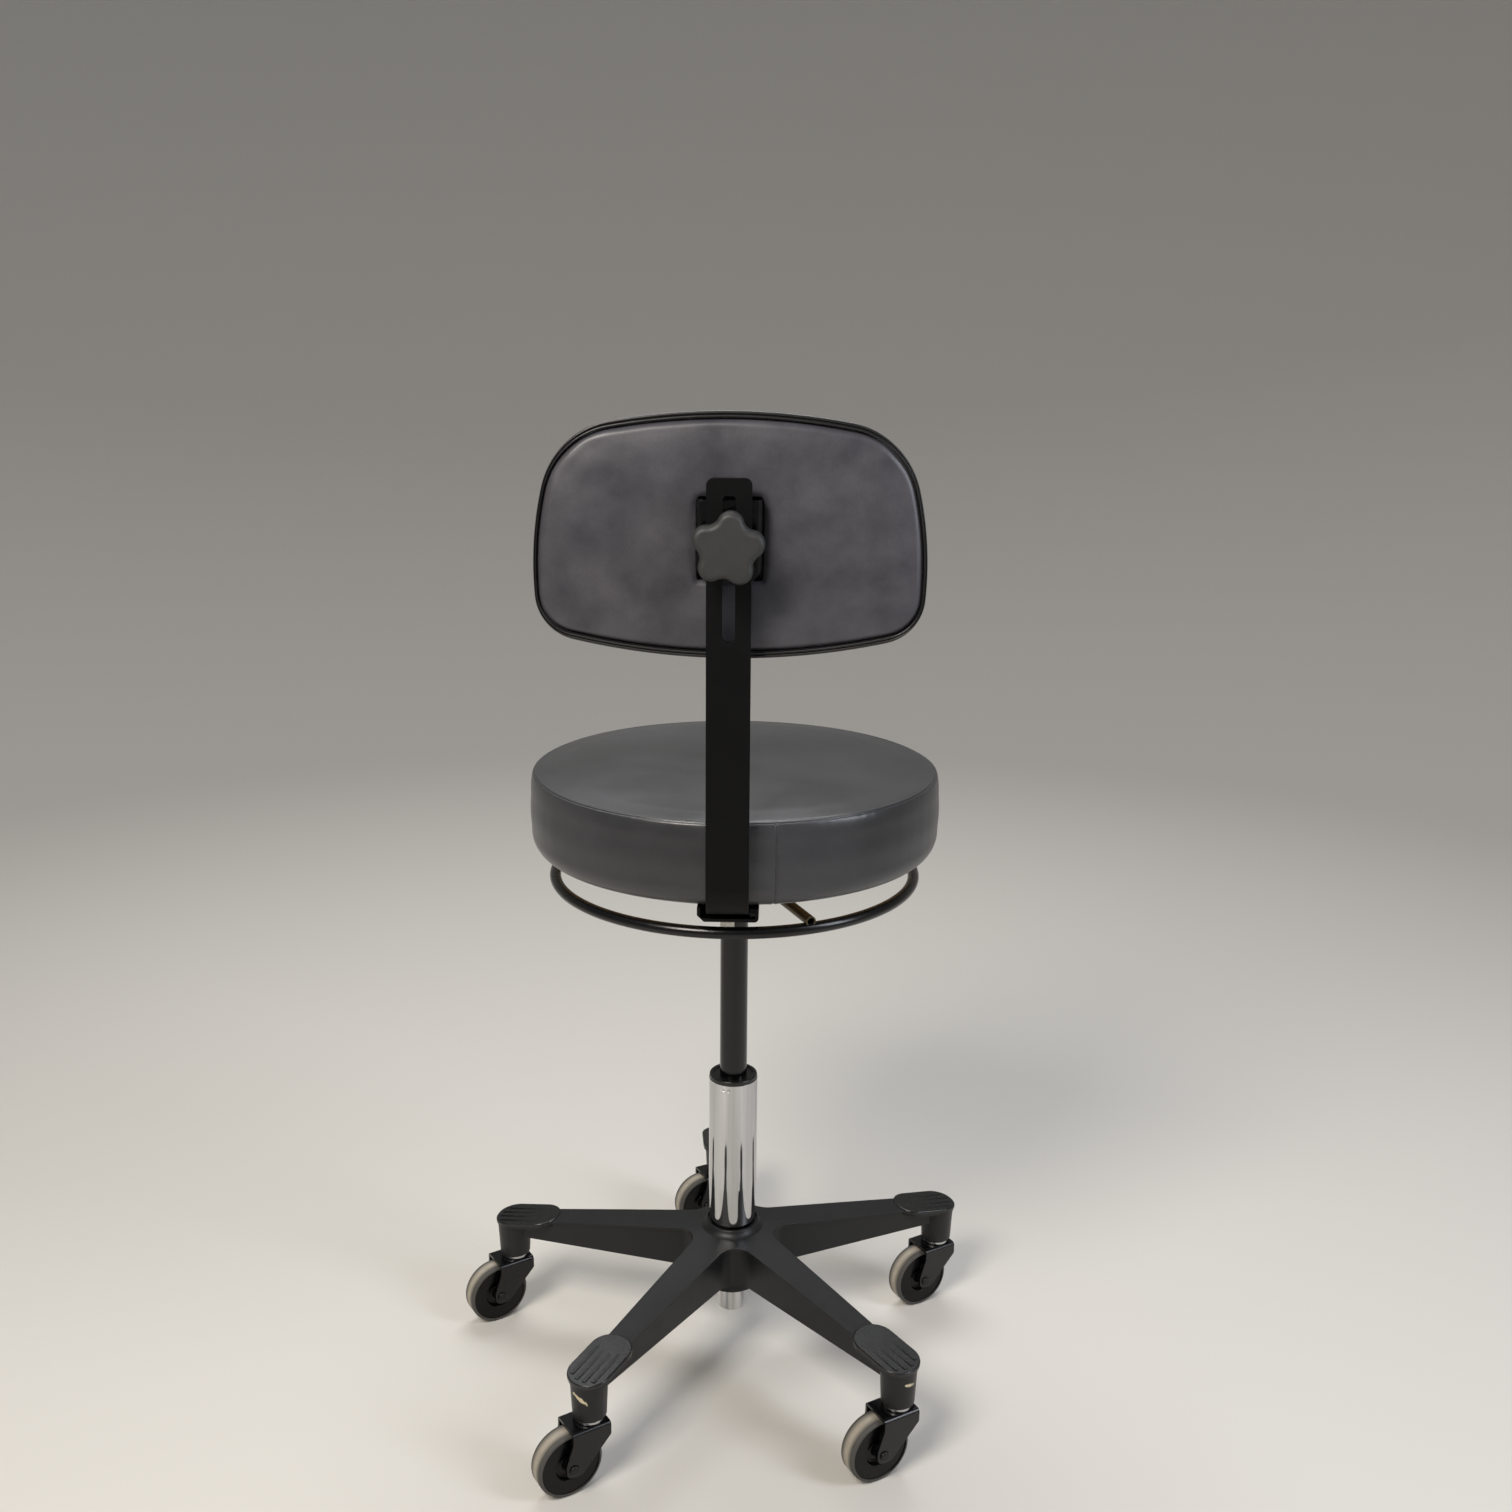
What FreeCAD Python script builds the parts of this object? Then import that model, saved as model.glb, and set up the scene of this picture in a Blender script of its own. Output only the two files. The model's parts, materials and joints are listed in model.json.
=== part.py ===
import FreeCAD, Part
import math
import os
import re

import Sketcher

# A swivelling drafting chair: five-arm base on castors, gas column, round seat with a release ring
# under it, and a small backrest that slides on a bent flat bar.
# Origin: on the floor, on the column's axis.  +Z is up, the sitter faces -Y, the backrest is at +Y.

Vector = FreeCAD.Vector
doc = FreeCAD.newDocument("DraftingChair")
sheet = doc.addObject("Spreadsheet::Sheet", "Dims")

# ---------------------------------------------------------------------------------------------
# Driving dimensions, in millimetres and degrees
# ---------------------------------------------------------------------------------------------
DIMENSIONS = [
    # clearances
    ("fit_gap", 0.05, "radial gap of pieces that stay together"),
    ("run_gap", 0.1, "radial gap of pieces that turn or slide on each other"),
    ("soft_gap", 0.3, "gap round upholstery"),
    # castors
    ("wheel_radius", 32.65, "castor wheel"),
    ("wheel_width", 20.5, "over the tread"),
    ("tread_depth", 3.1, "tread on the running surface"),
    ("tread_round", 3.0, "shoulder of the tread"),
    ("rim_width", 18.0, "side faces of the wheel core"),
    ("rim_inner_radius", 15.5, "edge of the dished middle"),
    ("web_width", 8.0, "wheel core at the dished middle"),
    ("boss_radius", 7.0, "wheel hub boss"),
    ("axle_dia", 6.0, "wheel axle rivet"),
    ("axle_head_dia", 10.0, "rivet heads"),
    ("axle_head_height", 2.2, "rivet heads"),
    ("wheel_trail", 24.6, "swivel axis to wheel axle"),
    ("fork_width", 34.0, "outside the legs"),
    ("fork_sheet", 3.0, "pressed steel thickness"),
    ("fork_front", 14.0, "top plate in front of the swivel axis"),
    ("fork_back", 25.0, "top plate behind the swivel axis"),
    ("fork_top", 70.0, "upper face of the fork"),
    ("fork_apron", 13.0, "depth of the leg at its front edge"),
    ("fork_eye_radius", 7.8, "rounded end of a leg"),
    ("fork_bend", 3.5, "outer bend of the pressing"),
    ("stem_dia", 11.0, "castor stem"),
    ("stem_top", 102.0, "top of the stem"),
    ("stem_rivet_radius", 7.5, "stem's riveted head under the fork"),
    ("stem_rivet_height", 3.0, "stem's riveted head under the fork"),
    ("race_dia", 29.0, "bright swivel race under the socket"),
    ("race_lift", 0.3, "race above the fork"),
    ("race_groove_radius", 9.2, "centre of the ball groove"),
    ("race_ball_dia", 2.9, "swivel balls"),
    ("race_ball_count", 8, "balls in each race"),
    # five-arm base
    ("arm_count", 5, "arms"),
    ("base_turn", 5.45, "base turned from straight ahead"),
    ("pivot_radius", 248.5, "column axis to castor axis"),
    ("socket_bottom", 75.0, "lower face of the stem sockets"),
    ("socket_height", 42.0, "stem sockets, before the tip's slope is cut"),
    ("socket_top_dia", 36.5, "socket"),
    ("socket_foot_dia", 32.4, "socket"),
    ("arm_root_width", 41.2, "top flange of an arm, carried on to the column's axis"),
    ("arm_tip_width", 23.4, "top flange of an arm at the castor's axis"),
    ("arm_lip", 2.2, "flange beyond the side walls"),
    ("arm_lip_depth", 3.2, "flange thickness"),
    ("arm_wall", 3.2, "side walls"),
    ("arm_skin", 4.0, "top wall over the hollow"),
    ("arm_rib", 3.0, "cross ribs in the hollow"),
    ("arm_cell_start", 8.0, "first hollow, beyond the hub boss"),
    ("arm_cell_count", 4, "hollows in an arm"),
    ("arm_fall", 7.125, "degrees that the top of an arm falls outwards"),
    ("arm_apex", 149.0, "top of the arms, carried on to the column's axis"),
    ("arm_bottom", 97.8, "underside of the arms"),
    ("hub_top", 149.0, "top of the base at the column"),
    ("hub_collar_radius", 27.5, "collar round the column"),
    ("hub_flare_reach", 43.0, "where the collar's flare ends"),
    ("hub_flare_round", 11.0, "flare of the collar"),
    ("hub_blend", 20.0, "round between neighbouring arms"),
    ("hub_foot_height", 80.5, "lower face of the hub"),
    ("hub_foot_dia", 57.0, "hub boss"),
    ("toe_inward", 52.7, "castor axis to the inner end of a toe cap"),
    ("toe_outward", 18.6, "castor axis to the outer end of a toe cap"),
    ("toe_end_share", 0.93, "rounding of a toe cap's ends, as a share of its half width"),
    ("toe_seat_clear", 12.0, "space cut above the toe cap's seat"),
    ("toe_width", 43.2, "toe cap"),
    ("toe_height", 4.0, "toe cap"),
    ("toe_proud", 1.0, "toe cap above the arm"),
    ("toe_plate_thick", 3.0, "plate under a toe cap"),
    ("toe_plate_inset", 0.8, "plate inside the toe cap's outline"),
    ("toe_round", 1.4, "upper edge of a toe cap"),
    ("toe_rib_height", 0.9, "lengthwise ribs, at the tip"),
    ("toe_rib_width", 3.6, "lengthwise ribs"),
    ("toe_rib_pitch", 8.2, "lengthwise ribs"),
    ("toe_rib_length", 42.0, "lengthwise ribs, which fade inwards"),
    ("toe_rib_end", 4.5, "middle ribs from the tip"),
    ("toe_rib_step", 3.5, "outer ribs behind the middle ones"),
    # column and gas spring
    ("tube_dia", 50.0, "chromed column tube"),
    ("tube_wall", 1.9, "column tube wall"),
    ("tube_top", 316.0, "upper end of the tube"),
    ("taper_radius", 23.8, "tube radius at the top of the hub"),
    ("taper_slope", 0.025, "taper, radius over length"),
    ("stub_dia", 32.2, "tube below the hub"),
    ("stub_bottom", 51.0, "lower end of the tube"),
    ("stub_wall", 1.5, "wall below the hub"),
    ("stub_floor", 56.0, "lower face of the tube's floor"),
    ("stub_floor_thick", 3.0, "tube's floor"),
    ("stake_radius", 1.6, "staking dents that hold the bush"),
    ("stake_drop", 5.5, "dents below the tube's end"),
    ("stake_pitch", 5.5, "between the two dents"),
    ("stake_offset", 7.0, "dents to one side of the tube's middle"),
    ("stake_rise", 0.6, "centre of a dent outside the tube"),
    ("bush_length", 110.0, "guide bush inside the tube"),
    ("bush_collar_dia", 49.0, "collar on top of the tube"),
    ("bush_collar_height", 4.5, "collar on top of the tube"),
    ("bush_recess", 1.8, "recess inside the collar"),
    ("stage_dia", 28.0, "gas cylinder"),
    ("stage_wall", 1.5, "gas cylinder wall"),
    ("stage_bottom", 268.0, "lower end of the gas cylinder with the seat up"),
    ("stage_seal", 6.0, "rod guide in the cylinder"),
    ("stage_taper_start", 520.0, "where the cylinder's top taper starts"),
    ("stage_taper_radius", 12.8, "cylinder's upper end"),
    ("stage_valve", 22.0, "valve block in the cylinder's upper end"),
    ("rod_dia", 10.0, "piston rod"),
    ("rod_foot", 52.6, "lower end of the rod"),
    ("rod_shoulder_dia", 17.0, "shoulder on the thrust bearing"),
    ("rod_shoulder_height", 3.0, "shoulder on the thrust bearing"),
    ("piston_lift", 3.0, "piston above the rod guide"),
    ("piston_height", 12.0, "piston"),
    ("bearing_dia", 26.0, "thrust bearing"),
    ("bearing_height", 5.0, "thrust bearing"),
    ("bump_dia", 22.0, "rubber bump stop"),
    ("bump_height", 8.0, "rubber bump stop"),
    ("clip_dia", 18.0, "retaining clip under the tube's floor"),
    ("clip_height", 1.6, "retaining clip"),
    ("button_dia", 6.0, "valve button"),
    ("button_head_dia", 9.0, "valve button's head"),
    ("button_top", 576.6, "top of the valve button"),
    ("button_head_height", 3.0, "valve button's head"),
    # seat
    ("seat_radius", 200.0, "upholstered seat"),
    ("seat_bottom", 570.5, "lower edge of the upholstery"),
    ("seat_seam_height", 646.0, "edge seam"),
    ("seat_crown", 655.0, "middle of the seat"),
    ("seat_bottom_round", 18.0, "lower edge"),
    ("seat_top_round", 7.0, "upper edge"),
    ("board_radius", 176.0, "plywood seat board"),
    ("board_bottom", 569.5, "underside of the seat board"),
    ("board_thick", 12.0, "seat board"),
    ("board_well_radius", 38.0, "opening over the valve"),
    ("plate_size", 150.0, "square mounting plate"),
    ("plate_thick", 3.0, "mounting plate"),
    ("plate_corner", 12.0, "mounting plate"),
    ("plate_hole_pitch", 120.0, "screws in the mounting plate"),
    ("plate_bore_radius", 15.0, "opening in the plate over the valve"),
    ("cone_dia", 40.0, "tapered socket for the gas cylinder"),
    ("cone_bottom", 524.0, "lower end of the tapered socket"),
    ("screw_dia", 5.0, "seat screws"),
    ("screw_head_dia", 12.0, "seat screws"),
    ("screw_head_height", 3.5, "seat screws"),
    ("screw_length", 10.0, "seat screws in the board"),
    # release ring
    ("ring_radius", 177.4, "centre line of the release ring"),
    ("ring_rod_radius", 5.5, "release ring tube"),
    ("ring_height", 541.6, "centre line of the release ring"),
    ("ring_weld_flat", 0.05, "gap in the welded joints"),
    ("spoke_dia", 9.6, "spoke tube"),
    ("spoke_wall", 1.4, "spoke tube"),
    ("spoke_height", 549.0, "centre line of the spokes"),
    ("spoke_overhang", 3.0, "spoke end beyond the ring's centre line"),
    ("spoke_turn", 114.0, "first spoke, from +X"),
    ("spoke_count", 3, "spokes"),
    ("ring_hub_radius", 33.0, "hub of the release ring"),
    ("ring_hub_bore", 25.0, "hub of the release ring"),
    ("ring_hub_height", 11.0, "hub of the release ring"),
    ("tilt_reach", 45.0, "column axis to the ring's hinge"),
    ("tilt_lug_width", 16.0, "lug on the hub"),
    ("tilt_lug_end", 50.0, "end of the lug"),
    ("tilt_pin_dia", 5.0, "hinge pin"),
    ("tilt_ear_thick", 3.0, "hinge ears"),
    ("tilt_ear_gap", 0.4, "ears to lug"),
    ("tilt_ear_length", 14.0, "hinge ears"),
    ("tilt_ear_bottom", 544.0, "hinge ears"),
    ("lever_width", 14.0, "release lever"),
    ("lever_thick", 3.0, "release lever"),
    ("lever_offset", 28.5, "column axis to the lever's upright"),
    ("lever_nose", 6.0, "lever beyond the column axis"),
    ("lever_gap", 0.4, "lever above the valve button"),
    ("lever_slot_margin", 4.5, "room round the upright in the plate"),
    # bent bar and its channel
    ("bar_width", 37.0, "flat bar"),
    ("bar_thick", 6.0, "flat bar"),
    ("bar_reach", 212.0, "rear face of the bar"),
    ("bar_top", 941.0, "upper end of the bar"),
    ("bar_corner", 6.0, "upper corners of the bar"),
    ("bar_bend", 22.0, "inside radius of the bend"),
    ("bar_start", 82.0, "front end of the bar under the seat"),
    ("slot_width", 10.6, "slot in the bar"),
    ("slot_low", 808.0, "lower end of the slot"),
    ("slot_high", 928.0, "upper end of the slot"),
    ("channel_width", 54.0, "channel round the bar"),
    ("channel_sheet", 3.0, "channel wall"),
    ("channel_room", 3.6, "bar to the channel's web"),
    ("channel_pad_radius", 12.5, "pads pressed up to the bar"),
    ("channel_end", 191.0, "rear end of the channel"),
    ("channel_bevel", 7.0, "bevelled corner of the channel"),
    ("bar_bolt_first", 102.0, "first bolt through bar and channel"),
    ("bar_bolt_pitch", 50.0, "bolts through bar and channel"),
    ("bolt_dia", 8.0, "bar bolts"),
    ("bolt_head_across", 13.0, "bar bolts"),
    ("bolt_head_height", 4.5, "bar bolts"),
    ("tee_flange_dia", 22.0, "tee nuts in the seat board"),
    ("tee_flange_thick", 1.6, "tee nuts"),
    ("tee_barrel_dia", 10.5, "tee nuts"),
    ("tee_barrel_length", 8.0, "tee nuts"),
    ("clamp_dia", 5.0, "clamp screw at the side of the bar"),
    ("clamp_setback", 4.5, "clamp screw from the channel's end"),
    ("clamp_nut_across", 8.0, "lock nut of the clamp screw"),
    ("clamp_nut_thick", 4.6, "lock nut of the clamp screw"),
    # backrest
    ("back_top", 993.0, "top of the backrest"),
    ("back_bottom", 790.0, "bottom of the backrest"),
    ("back_half_width", 163.2, "middle of the backrest to its side"),
    ("back_waist", 862.0, "height where the backrest is widest"),
    ("back_top_bow", 560.0, "radius of the top edge"),
    ("back_side_bow", 290.0, "radius of the sides"),
    ("back_bottom_bow", 600.0, "radius of the bottom edge"),
    ("back_top_corner", 72.0, "upper corners"),
    ("back_bottom_corner", 40.0, "lower corners"),
    ("trim_side", 2.7, "trim beyond the board at the sides"),
    ("trim_end", 5.7, "trim beyond the board at top and bottom"),
    ("trim_depth", 22.0, "trim from front to rear"),
    ("rear_face", 190.0, "rear face of the rear panel"),
    ("rear_pad_thick", 11.7, "upholstered rear panel"),
    ("rear_pad_round", 4.0, "edge of the rear panel"),
    ("back_board_thick", 12.0, "plywood back board"),
    ("back_board_inset", 0.6, "board inside the trim"),
    ("front_pad_thick", 34.0, "front cushion"),
    ("front_pad_inset", 2.0, "front cushion inside the outline"),
    ("front_pad_round", 12.0, "edge of the front cushion"),
    ("bracket_width", 53.0, "back bracket"),
    ("bracket_bottom", 856.5, "back bracket"),
    ("bracket_top", 923.0, "back bracket"),
    ("bracket_sheet", 3.0, "back bracket"),
    ("bracket_bend", 4.5, "outside bends of the bracket"),
    ("bracket_foot", 14.0, "feet of the bracket on the board"),
    ("bracket_bevel", 9.0, "lower corners of the bracket"),
    ("bracket_gap", 0.15, "bracket to bar"),
    ("bracket_bolt_dia", 5.0, "bolts from board to bracket"),
    ("bracket_bolt_head_dia", 10.0, "bolts from board to bracket"),
    ("bracket_bolt_head_height", 3.0, "bolts from board to bracket"),
    ("bracket_bolt_pitch", 42.0, "bolts from board to bracket"),
    # clamp knob
    ("stud_height", 887.0, "knob's axis"),
    ("stud_dia", 8.0, "clamp stud"),
    ("stud_head_dia", 18.0, "clamp stud"),
    ("stud_head_height", 4.0, "clamp stud"),
    ("stud_end", 241.0, "outer end of the stud"),
    ("washer_dia", 24.0, "clamp washer"),
    ("washer_thick", 2.0, "clamp washer"),
    ("knob_start", 225.0, "inner face of the knob's head"),
    ("knob_thick", 20.0, "knob's head"),
    ("knob_stem_dia", 21.0, "knob's stem"),
    ("knob_lobe_radius", 10.8, "lobes of the knob"),
    ("knob_lobe_centre", 19.2, "centre of a lobe"),
    ("knob_valley_radius", 10.0, "between the lobes"),
    ("knob_lobes", 5, "lobes"),
    ("knob_turn", 6.0, "first lobe, from straight up"),
    ("knob_round", 5.0, "outer edge of the knob"),
    ("knob_inner_round", 2.0, "inner edge of the knob"),
    ("insert_dia", 12.0, "threaded insert in the knob"),
    ("insert_end", 242.0, "outer end of the insert"),
    # allowances and small details
    ("cut_over", 1.0, "how far a cut runs past the face that it opens"),
    ("cut_reach", 60.0, "how far the turned cuts run past the toe caps"),
    ("cut_height", 40.0, "how far the turned cuts run above and below the hub"),
    ("collar_sink", 0.2, "foot of the hub collar under the arms' tops"),
    ("collar_chamfer", 0.6, "top edge of the hub collar"),
    ("arm_cell_gap", 2.0, "last hollow of an arm to its socket"),
    ("tube_step", 6.0, "foot of the taper to the step inside the tube"),
    ("tube_edge_round", 0.6, "lower edge of the stub"),
    ("bearing_race_thick", 1.4, "races of the thrust bearing"),
    ("bearing_cage_inset", 1.5, "cage inside the races' rims"),
    ("bump_round", 1.5, "top edge of the bump stop"),
    ("stage_shoulder", 6.0, "inner shoulder below the stage's taper"),
    ("stage_shoulder_inset", 2.0, "inner shoulder at the valve"),
    ("button_stalk_end", 4.0, "lower end of the valve's stalk in its bore"),
    ("screw_head_rim", 1.4, "rim of the plate screws' heads"),
    ("screw_tip", 2.0, "pointed tip of the plate screws"),
    ("screw_hole_end", 0.5, "hole beyond the tip of a plate screw"),
    ("socket_proud", 1.0, "welded socket above the plate's lower face"),
]

for row, (name, size, meaning) in enumerate(DIMENSIONS, start=1):
    sheet.set(f"A{row}", name)
    sheet.set(f"B{row}", str(size))
    sheet.set(f"C{row}", meaning)
    sheet.setAlias(f"B{row}", name)
doc.recompute()

# Places that several pieces share, worked out from the driving dimensions
AXLE_HEIGHT = "wheel_radius"
STAGE_TOP = "(board_bottom - 1.5)"
STAGE_FLOOR = "(stage_bottom + stage_seal)"
FLOOR_TOP = "(stub_floor + stub_floor_thick)"
SHOULDER_BOTTOM = "(stub_floor + stub_floor_thick + bearing_height)"
SHOULDER_TOP = f"({SHOULDER_BOTTOM} + rod_shoulder_height)"
BOARD_TOP = "(board_bottom + board_thick)"
PLATE_BOTTOM = "(board_bottom - plate_thick)"
BAR_BOTTOM = "(board_bottom - bar_thick)"
CHANNEL_FLOOR = f"({BAR_BOTTOM} - channel_room)"
CHANNEL_BOTTOM = f"({CHANNEL_FLOOR} - channel_sheet)"
BOLT_SEAT = f"({BAR_BOTTOM} - channel_sheet)"
CLAMP_Y = "(channel_end - clamp_setback)"
CLAMP_Z = f"((board_bottom + {CHANNEL_FLOOR}) / 2)"
EAR_INNER = "(tilt_lug_width / 2 + tilt_ear_gap)"
EAR_OUTER = f"({EAR_INNER} + tilt_ear_thick)"
LEVER_BOTTOM = "(button_top + lever_gap)"
HUB_RING_BOTTOM = "(spoke_height - ring_hub_height / 2)"
HUB_RING_TOP = "(spoke_height + ring_hub_height / 2)"
BAR_FACE = "(bar_reach - bar_thick)"
BRACKET_FACE = f"({BAR_FACE} - bracket_gap)"
BRACKET_WEB = f"({BRACKET_FACE} - bracket_sheet)"
BOARD_REAR = "(rear_face - rear_pad_thick - soft_gap)"
BOARD_FRONT = f"({BOARD_REAR} - back_board_thick)"
WASHER_REAR = "(bar_reach + bracket_gap + washer_thick)"
TOE_START = "(pivot_radius - toe_inward)"
TOE_TIP = "(pivot_radius + toe_outward)"
TOE_SEAT = "(arm_apex + (toe_proud - toe_height) / cos(arm_fall))"
TOE_TOP = "(arm_apex + toe_proud / cos(arm_fall))"
SCREW_SIDES = [(-1, -1), (1, -1), (1, 1), (-1, 1)]


# ---------------------------------------------------------------------------------------------
# Helpers: expressions, sketches and features
# ---------------------------------------------------------------------------------------------
NAMES = re.compile(r"\b[a-z]+_[a-z_]+\b")


def tied(text):
    """The expression with every dimension's name pointed at the sheet."""
    return NAMES.sub(lambda match: "Dims." + match.group(0), text)


def size(text):
    """The value of an expression at the sheet's present dimensions."""
    return float(sheet.evalExpression(text))


def bind(item, prop, text):
    item.setExpression(prop, tied(text))


def place(item, x="0", y="0", z="0", turn=None):
    """Puts an object where the expressions say, turned about the vertical."""
    if turn is not None:
        item.Placement = FreeCAD.Placement(Vector(), FreeCAD.Rotation(Vector(0, 0, 1), size(turn)))
        bind(item, "Placement.Rotation.Angle", turn)
    bind(item, "Placement.Base.x", x)
    bind(item, "Placement.Base.y", y)
    bind(item, "Placement.Base.z", z)
    return item


def new_body(label):
    body = doc.addObject("PartDesign::Body", label)
    body.Label = label
    return body


def datum(body, role):
    return next(item for item in body.Origin.OriginFeatures if item.Role == role)


def new_sketch(body, name, role, offset="0"):
    """A sketch on one of the body's own planes, moved along the plane's normal."""
    sketch = body.newObject("Sketcher::SketchObject", name)
    sketch.AttachmentSupport = [(datum(body, role), "")]
    sketch.MapMode = "FlatFace"
    bind(sketch, "AttachmentOffset.Base.z", offset)
    return sketch


def constrain(sketch, rules):
    """Adds (constraint, expression or None) pairs and ties each size to the sheet."""
    first = sketch.ConstraintCount
    sketch.addConstraint([rule for rule, text in rules])
    for index, (rule, text) in enumerate(rules, start=first):
        if text is not None:
            sketch.setExpression(f"Constraints[{index}]", tied(text))


def pin_point(index, position, u, v):
    """Holds a point of a sketch at (u, v) from the sketch's origin."""
    across = Sketcher.Constraint("DistanceX", -1, 1, index, position, size(u))
    up = Sketcher.Constraint("DistanceY", -1, 1, index, position, size(v))
    return [(across, u), (up, v)]


def draw_outline(sketch, corners):
    """A closed outline through (u, v) corners, or (u, v, radius) where the corner is rounded."""
    count = len(corners)
    points = [Vector(size(corner[0]), size(corner[1]), 0) for corner in corners]
    rounds = [size(corner[2]) if len(corner) > 2 else 0.0 for corner in corners]
    leave, arrive, arcs = [], [], {}
    for index, (point, radius) in enumerate(zip(points, rounds)):
        before = (points[index - 1] - point).normalize()
        after = (points[(index + 1) % count] - point).normalize()
        if radius == 0:
            leave.append(point)
            arrive.append(point)
            continue
        half = before.getAngle(after) / 2
        reach = radius / math.tan(half)
        centre = point + (before + after).normalize() * (radius / math.sin(half))
        arrive.append(point + before * reach)
        leave.append(point + after * reach)
        arcs[index] = centre
    rules = []
    lines = []
    for index in range(count):
        segment = Part.LineSegment(leave[index], arrive[(index + 1) % count])
        lines.append(sketch.addGeometry(segment, False))
    for index, corner in enumerate(corners):
        last, line = lines[index - 1], lines[index]
        if index not in arcs:
            rules.append((Sketcher.Constraint("Coincident", last, 2, line, 1), None))
            rules += pin_point(line, 1, corner[0], corner[1])
            continue
        centre = arcs[index]
        coming, going = points[index] - points[index - 1], points[(index + 1) % count] - points[index]
        turns_left = coming.cross(going).z > 0
        start, end = (arrive[index], leave[index]) if turns_left else (leave[index], arrive[index])
        circle = Part.Circle(centre, Vector(0, 0, 1), rounds[index])
        corner_arc = Part.ArcOfCircle(circle, heading(start - centre), heading(end - centre))
        arc = sketch.addGeometry(corner_arc, False)
        dot = sketch.addGeometry(Part.Point(points[index]), True)
        at_last, at_line = (1, 2) if turns_left else (2, 1)
        rules.append((Sketcher.Constraint("Tangent", arc, at_last, last, 2), None))
        rules.append((Sketcher.Constraint("Tangent", arc, at_line, line, 1), None))
        rules.append((Sketcher.Constraint("Radius", arc, rounds[index]), corner[2]))
        rules += pin_point(dot, 1, corner[0], corner[1])
        rules.append((Sketcher.Constraint("PointOnObject", dot, 1, last), None))
        rules.append((Sketcher.Constraint("PointOnObject", dot, 1, line), None))
    constrain(sketch, rules)


def heading(direction):
    return math.atan2(direction.y, direction.x)


def draw_circle(sketch, u, v, radius):
    circle = Part.Circle(Vector(size(u), size(v), 0), Vector(0, 0, 1), size(radius))
    index = sketch.addGeometry(circle, False)
    radius_rule = (Sketcher.Constraint("Radius", index, size(radius)), radius)
    constrain(sketch, pin_point(index, 3, u, v) + [radius_rule])


def rectangle(left, right, low, high, *radius):
    return [(left, low, *radius), (right, low, *radius), (right, high, *radius), (left, high, *radius)]


def hexagon(across, u="0", v="0"):
    """Corners of a hexagon with the given size across its flats."""
    reach = f"({across}) / 2 / cos(30)"
    return [(f"({u}) + {reach} * cos({60 * k})", f"({v}) + {reach} * sin({60 * k})") for k in range(6)]


def revolve(body, name, corners, role="XZ_Plane"):
    """Turns an outline of (radius, height) corners about the sketch's upright axis."""
    sketch = new_sketch(body, name + "_profile", role)
    draw_outline(sketch, corners)
    feature = body.newObject("PartDesign::Revolution", name)
    feature.Profile = sketch
    feature.ReferenceAxis = (sketch, ["V_Axis"])
    feature.Angle = 360
    return feature


def groove(body, name, corners):
    """Cuts away an outline of (radius, height) corners turned about the vertical."""
    sketch = new_sketch(body, name + "_profile", "XZ_Plane")
    draw_outline(sketch, corners)
    feature = body.newObject("PartDesign::Groove", name)
    feature.Profile = sketch
    feature.ReferenceAxis = (sketch, ["V_Axis"])
    feature.Angle = 360
    return feature


def extrude(body, kind, name, sketch, length, symmetric=False, backwards=False):
    """A Pad or a Pocket from a sketch, along its normal, against it or both ways."""
    feature = body.newObject("PartDesign::" + kind, name)
    feature.Profile = sketch
    feature.SideType = "Symmetric" if symmetric else "One side"
    feature.Reversed = backwards
    bind(feature, "Length", length)
    return feature


def pad(body, name, sketch, length, symmetric=False, backwards=False):
    return extrude(body, "Pad", name, sketch, length, symmetric, backwards)


def pocket(body, name, sketch, length, symmetric=False, backwards=False):
    return extrude(body, "Pocket", name, sketch, length, symmetric, backwards)


def polar(body, name, originals, count, angle="360"):
    """Repeats features round the vertical."""
    pattern = body.newObject("PartDesign::PolarPattern", name)
    pattern.Originals = originals
    pattern.Axis = (datum(body, "Z_Axis"), [""])
    bind(pattern, "Occurrences", count)
    bind(pattern, "Angle", angle)
    body.Tip = pattern
    return pattern


def edges_where(feature, test):
    """Names of the edges of a feature whose middle point passes the test."""
    doc.recompute()
    return [f"Edge{index}" for index, edge in enumerate(feature.Shape.Edges, start=1) if test(edge)]


def middle(edge):
    return edge.valueAt((edge.FirstParameter + edge.LastParameter) / 2)


def round_edges(body, name, feature, test, radius):
    fillet = body.newObject("PartDesign::Fillet", name)
    fillet.Base = (feature, edges_where(feature, test))
    bind(fillet, "Radius", radius)
    return fillet


def group(label, items):
    """Identical pieces under one label, each still a solid of its own."""
    compound = doc.addObject("Part::Compound", label)
    compound.Label = label
    compound.Links = items
    return compound


def turned(label, corners):
    """A body that is one turned piece."""
    body = new_body(label)
    revolve(body, label + "_turning", corners)
    return body


ARMS = range(int(size("arm_count")))


def arm_turn(index):
    return f"(base_turn - 90 + {index} * 360 / arm_count)"


def at_castor(item, index):
    """Moves a piece that was drawn round the vertical to castor number index."""
    turn = arm_turn(index)
    return place(item, f"pivot_radius * cos({turn})", f"pivot_radius * sin({turn})")


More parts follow.
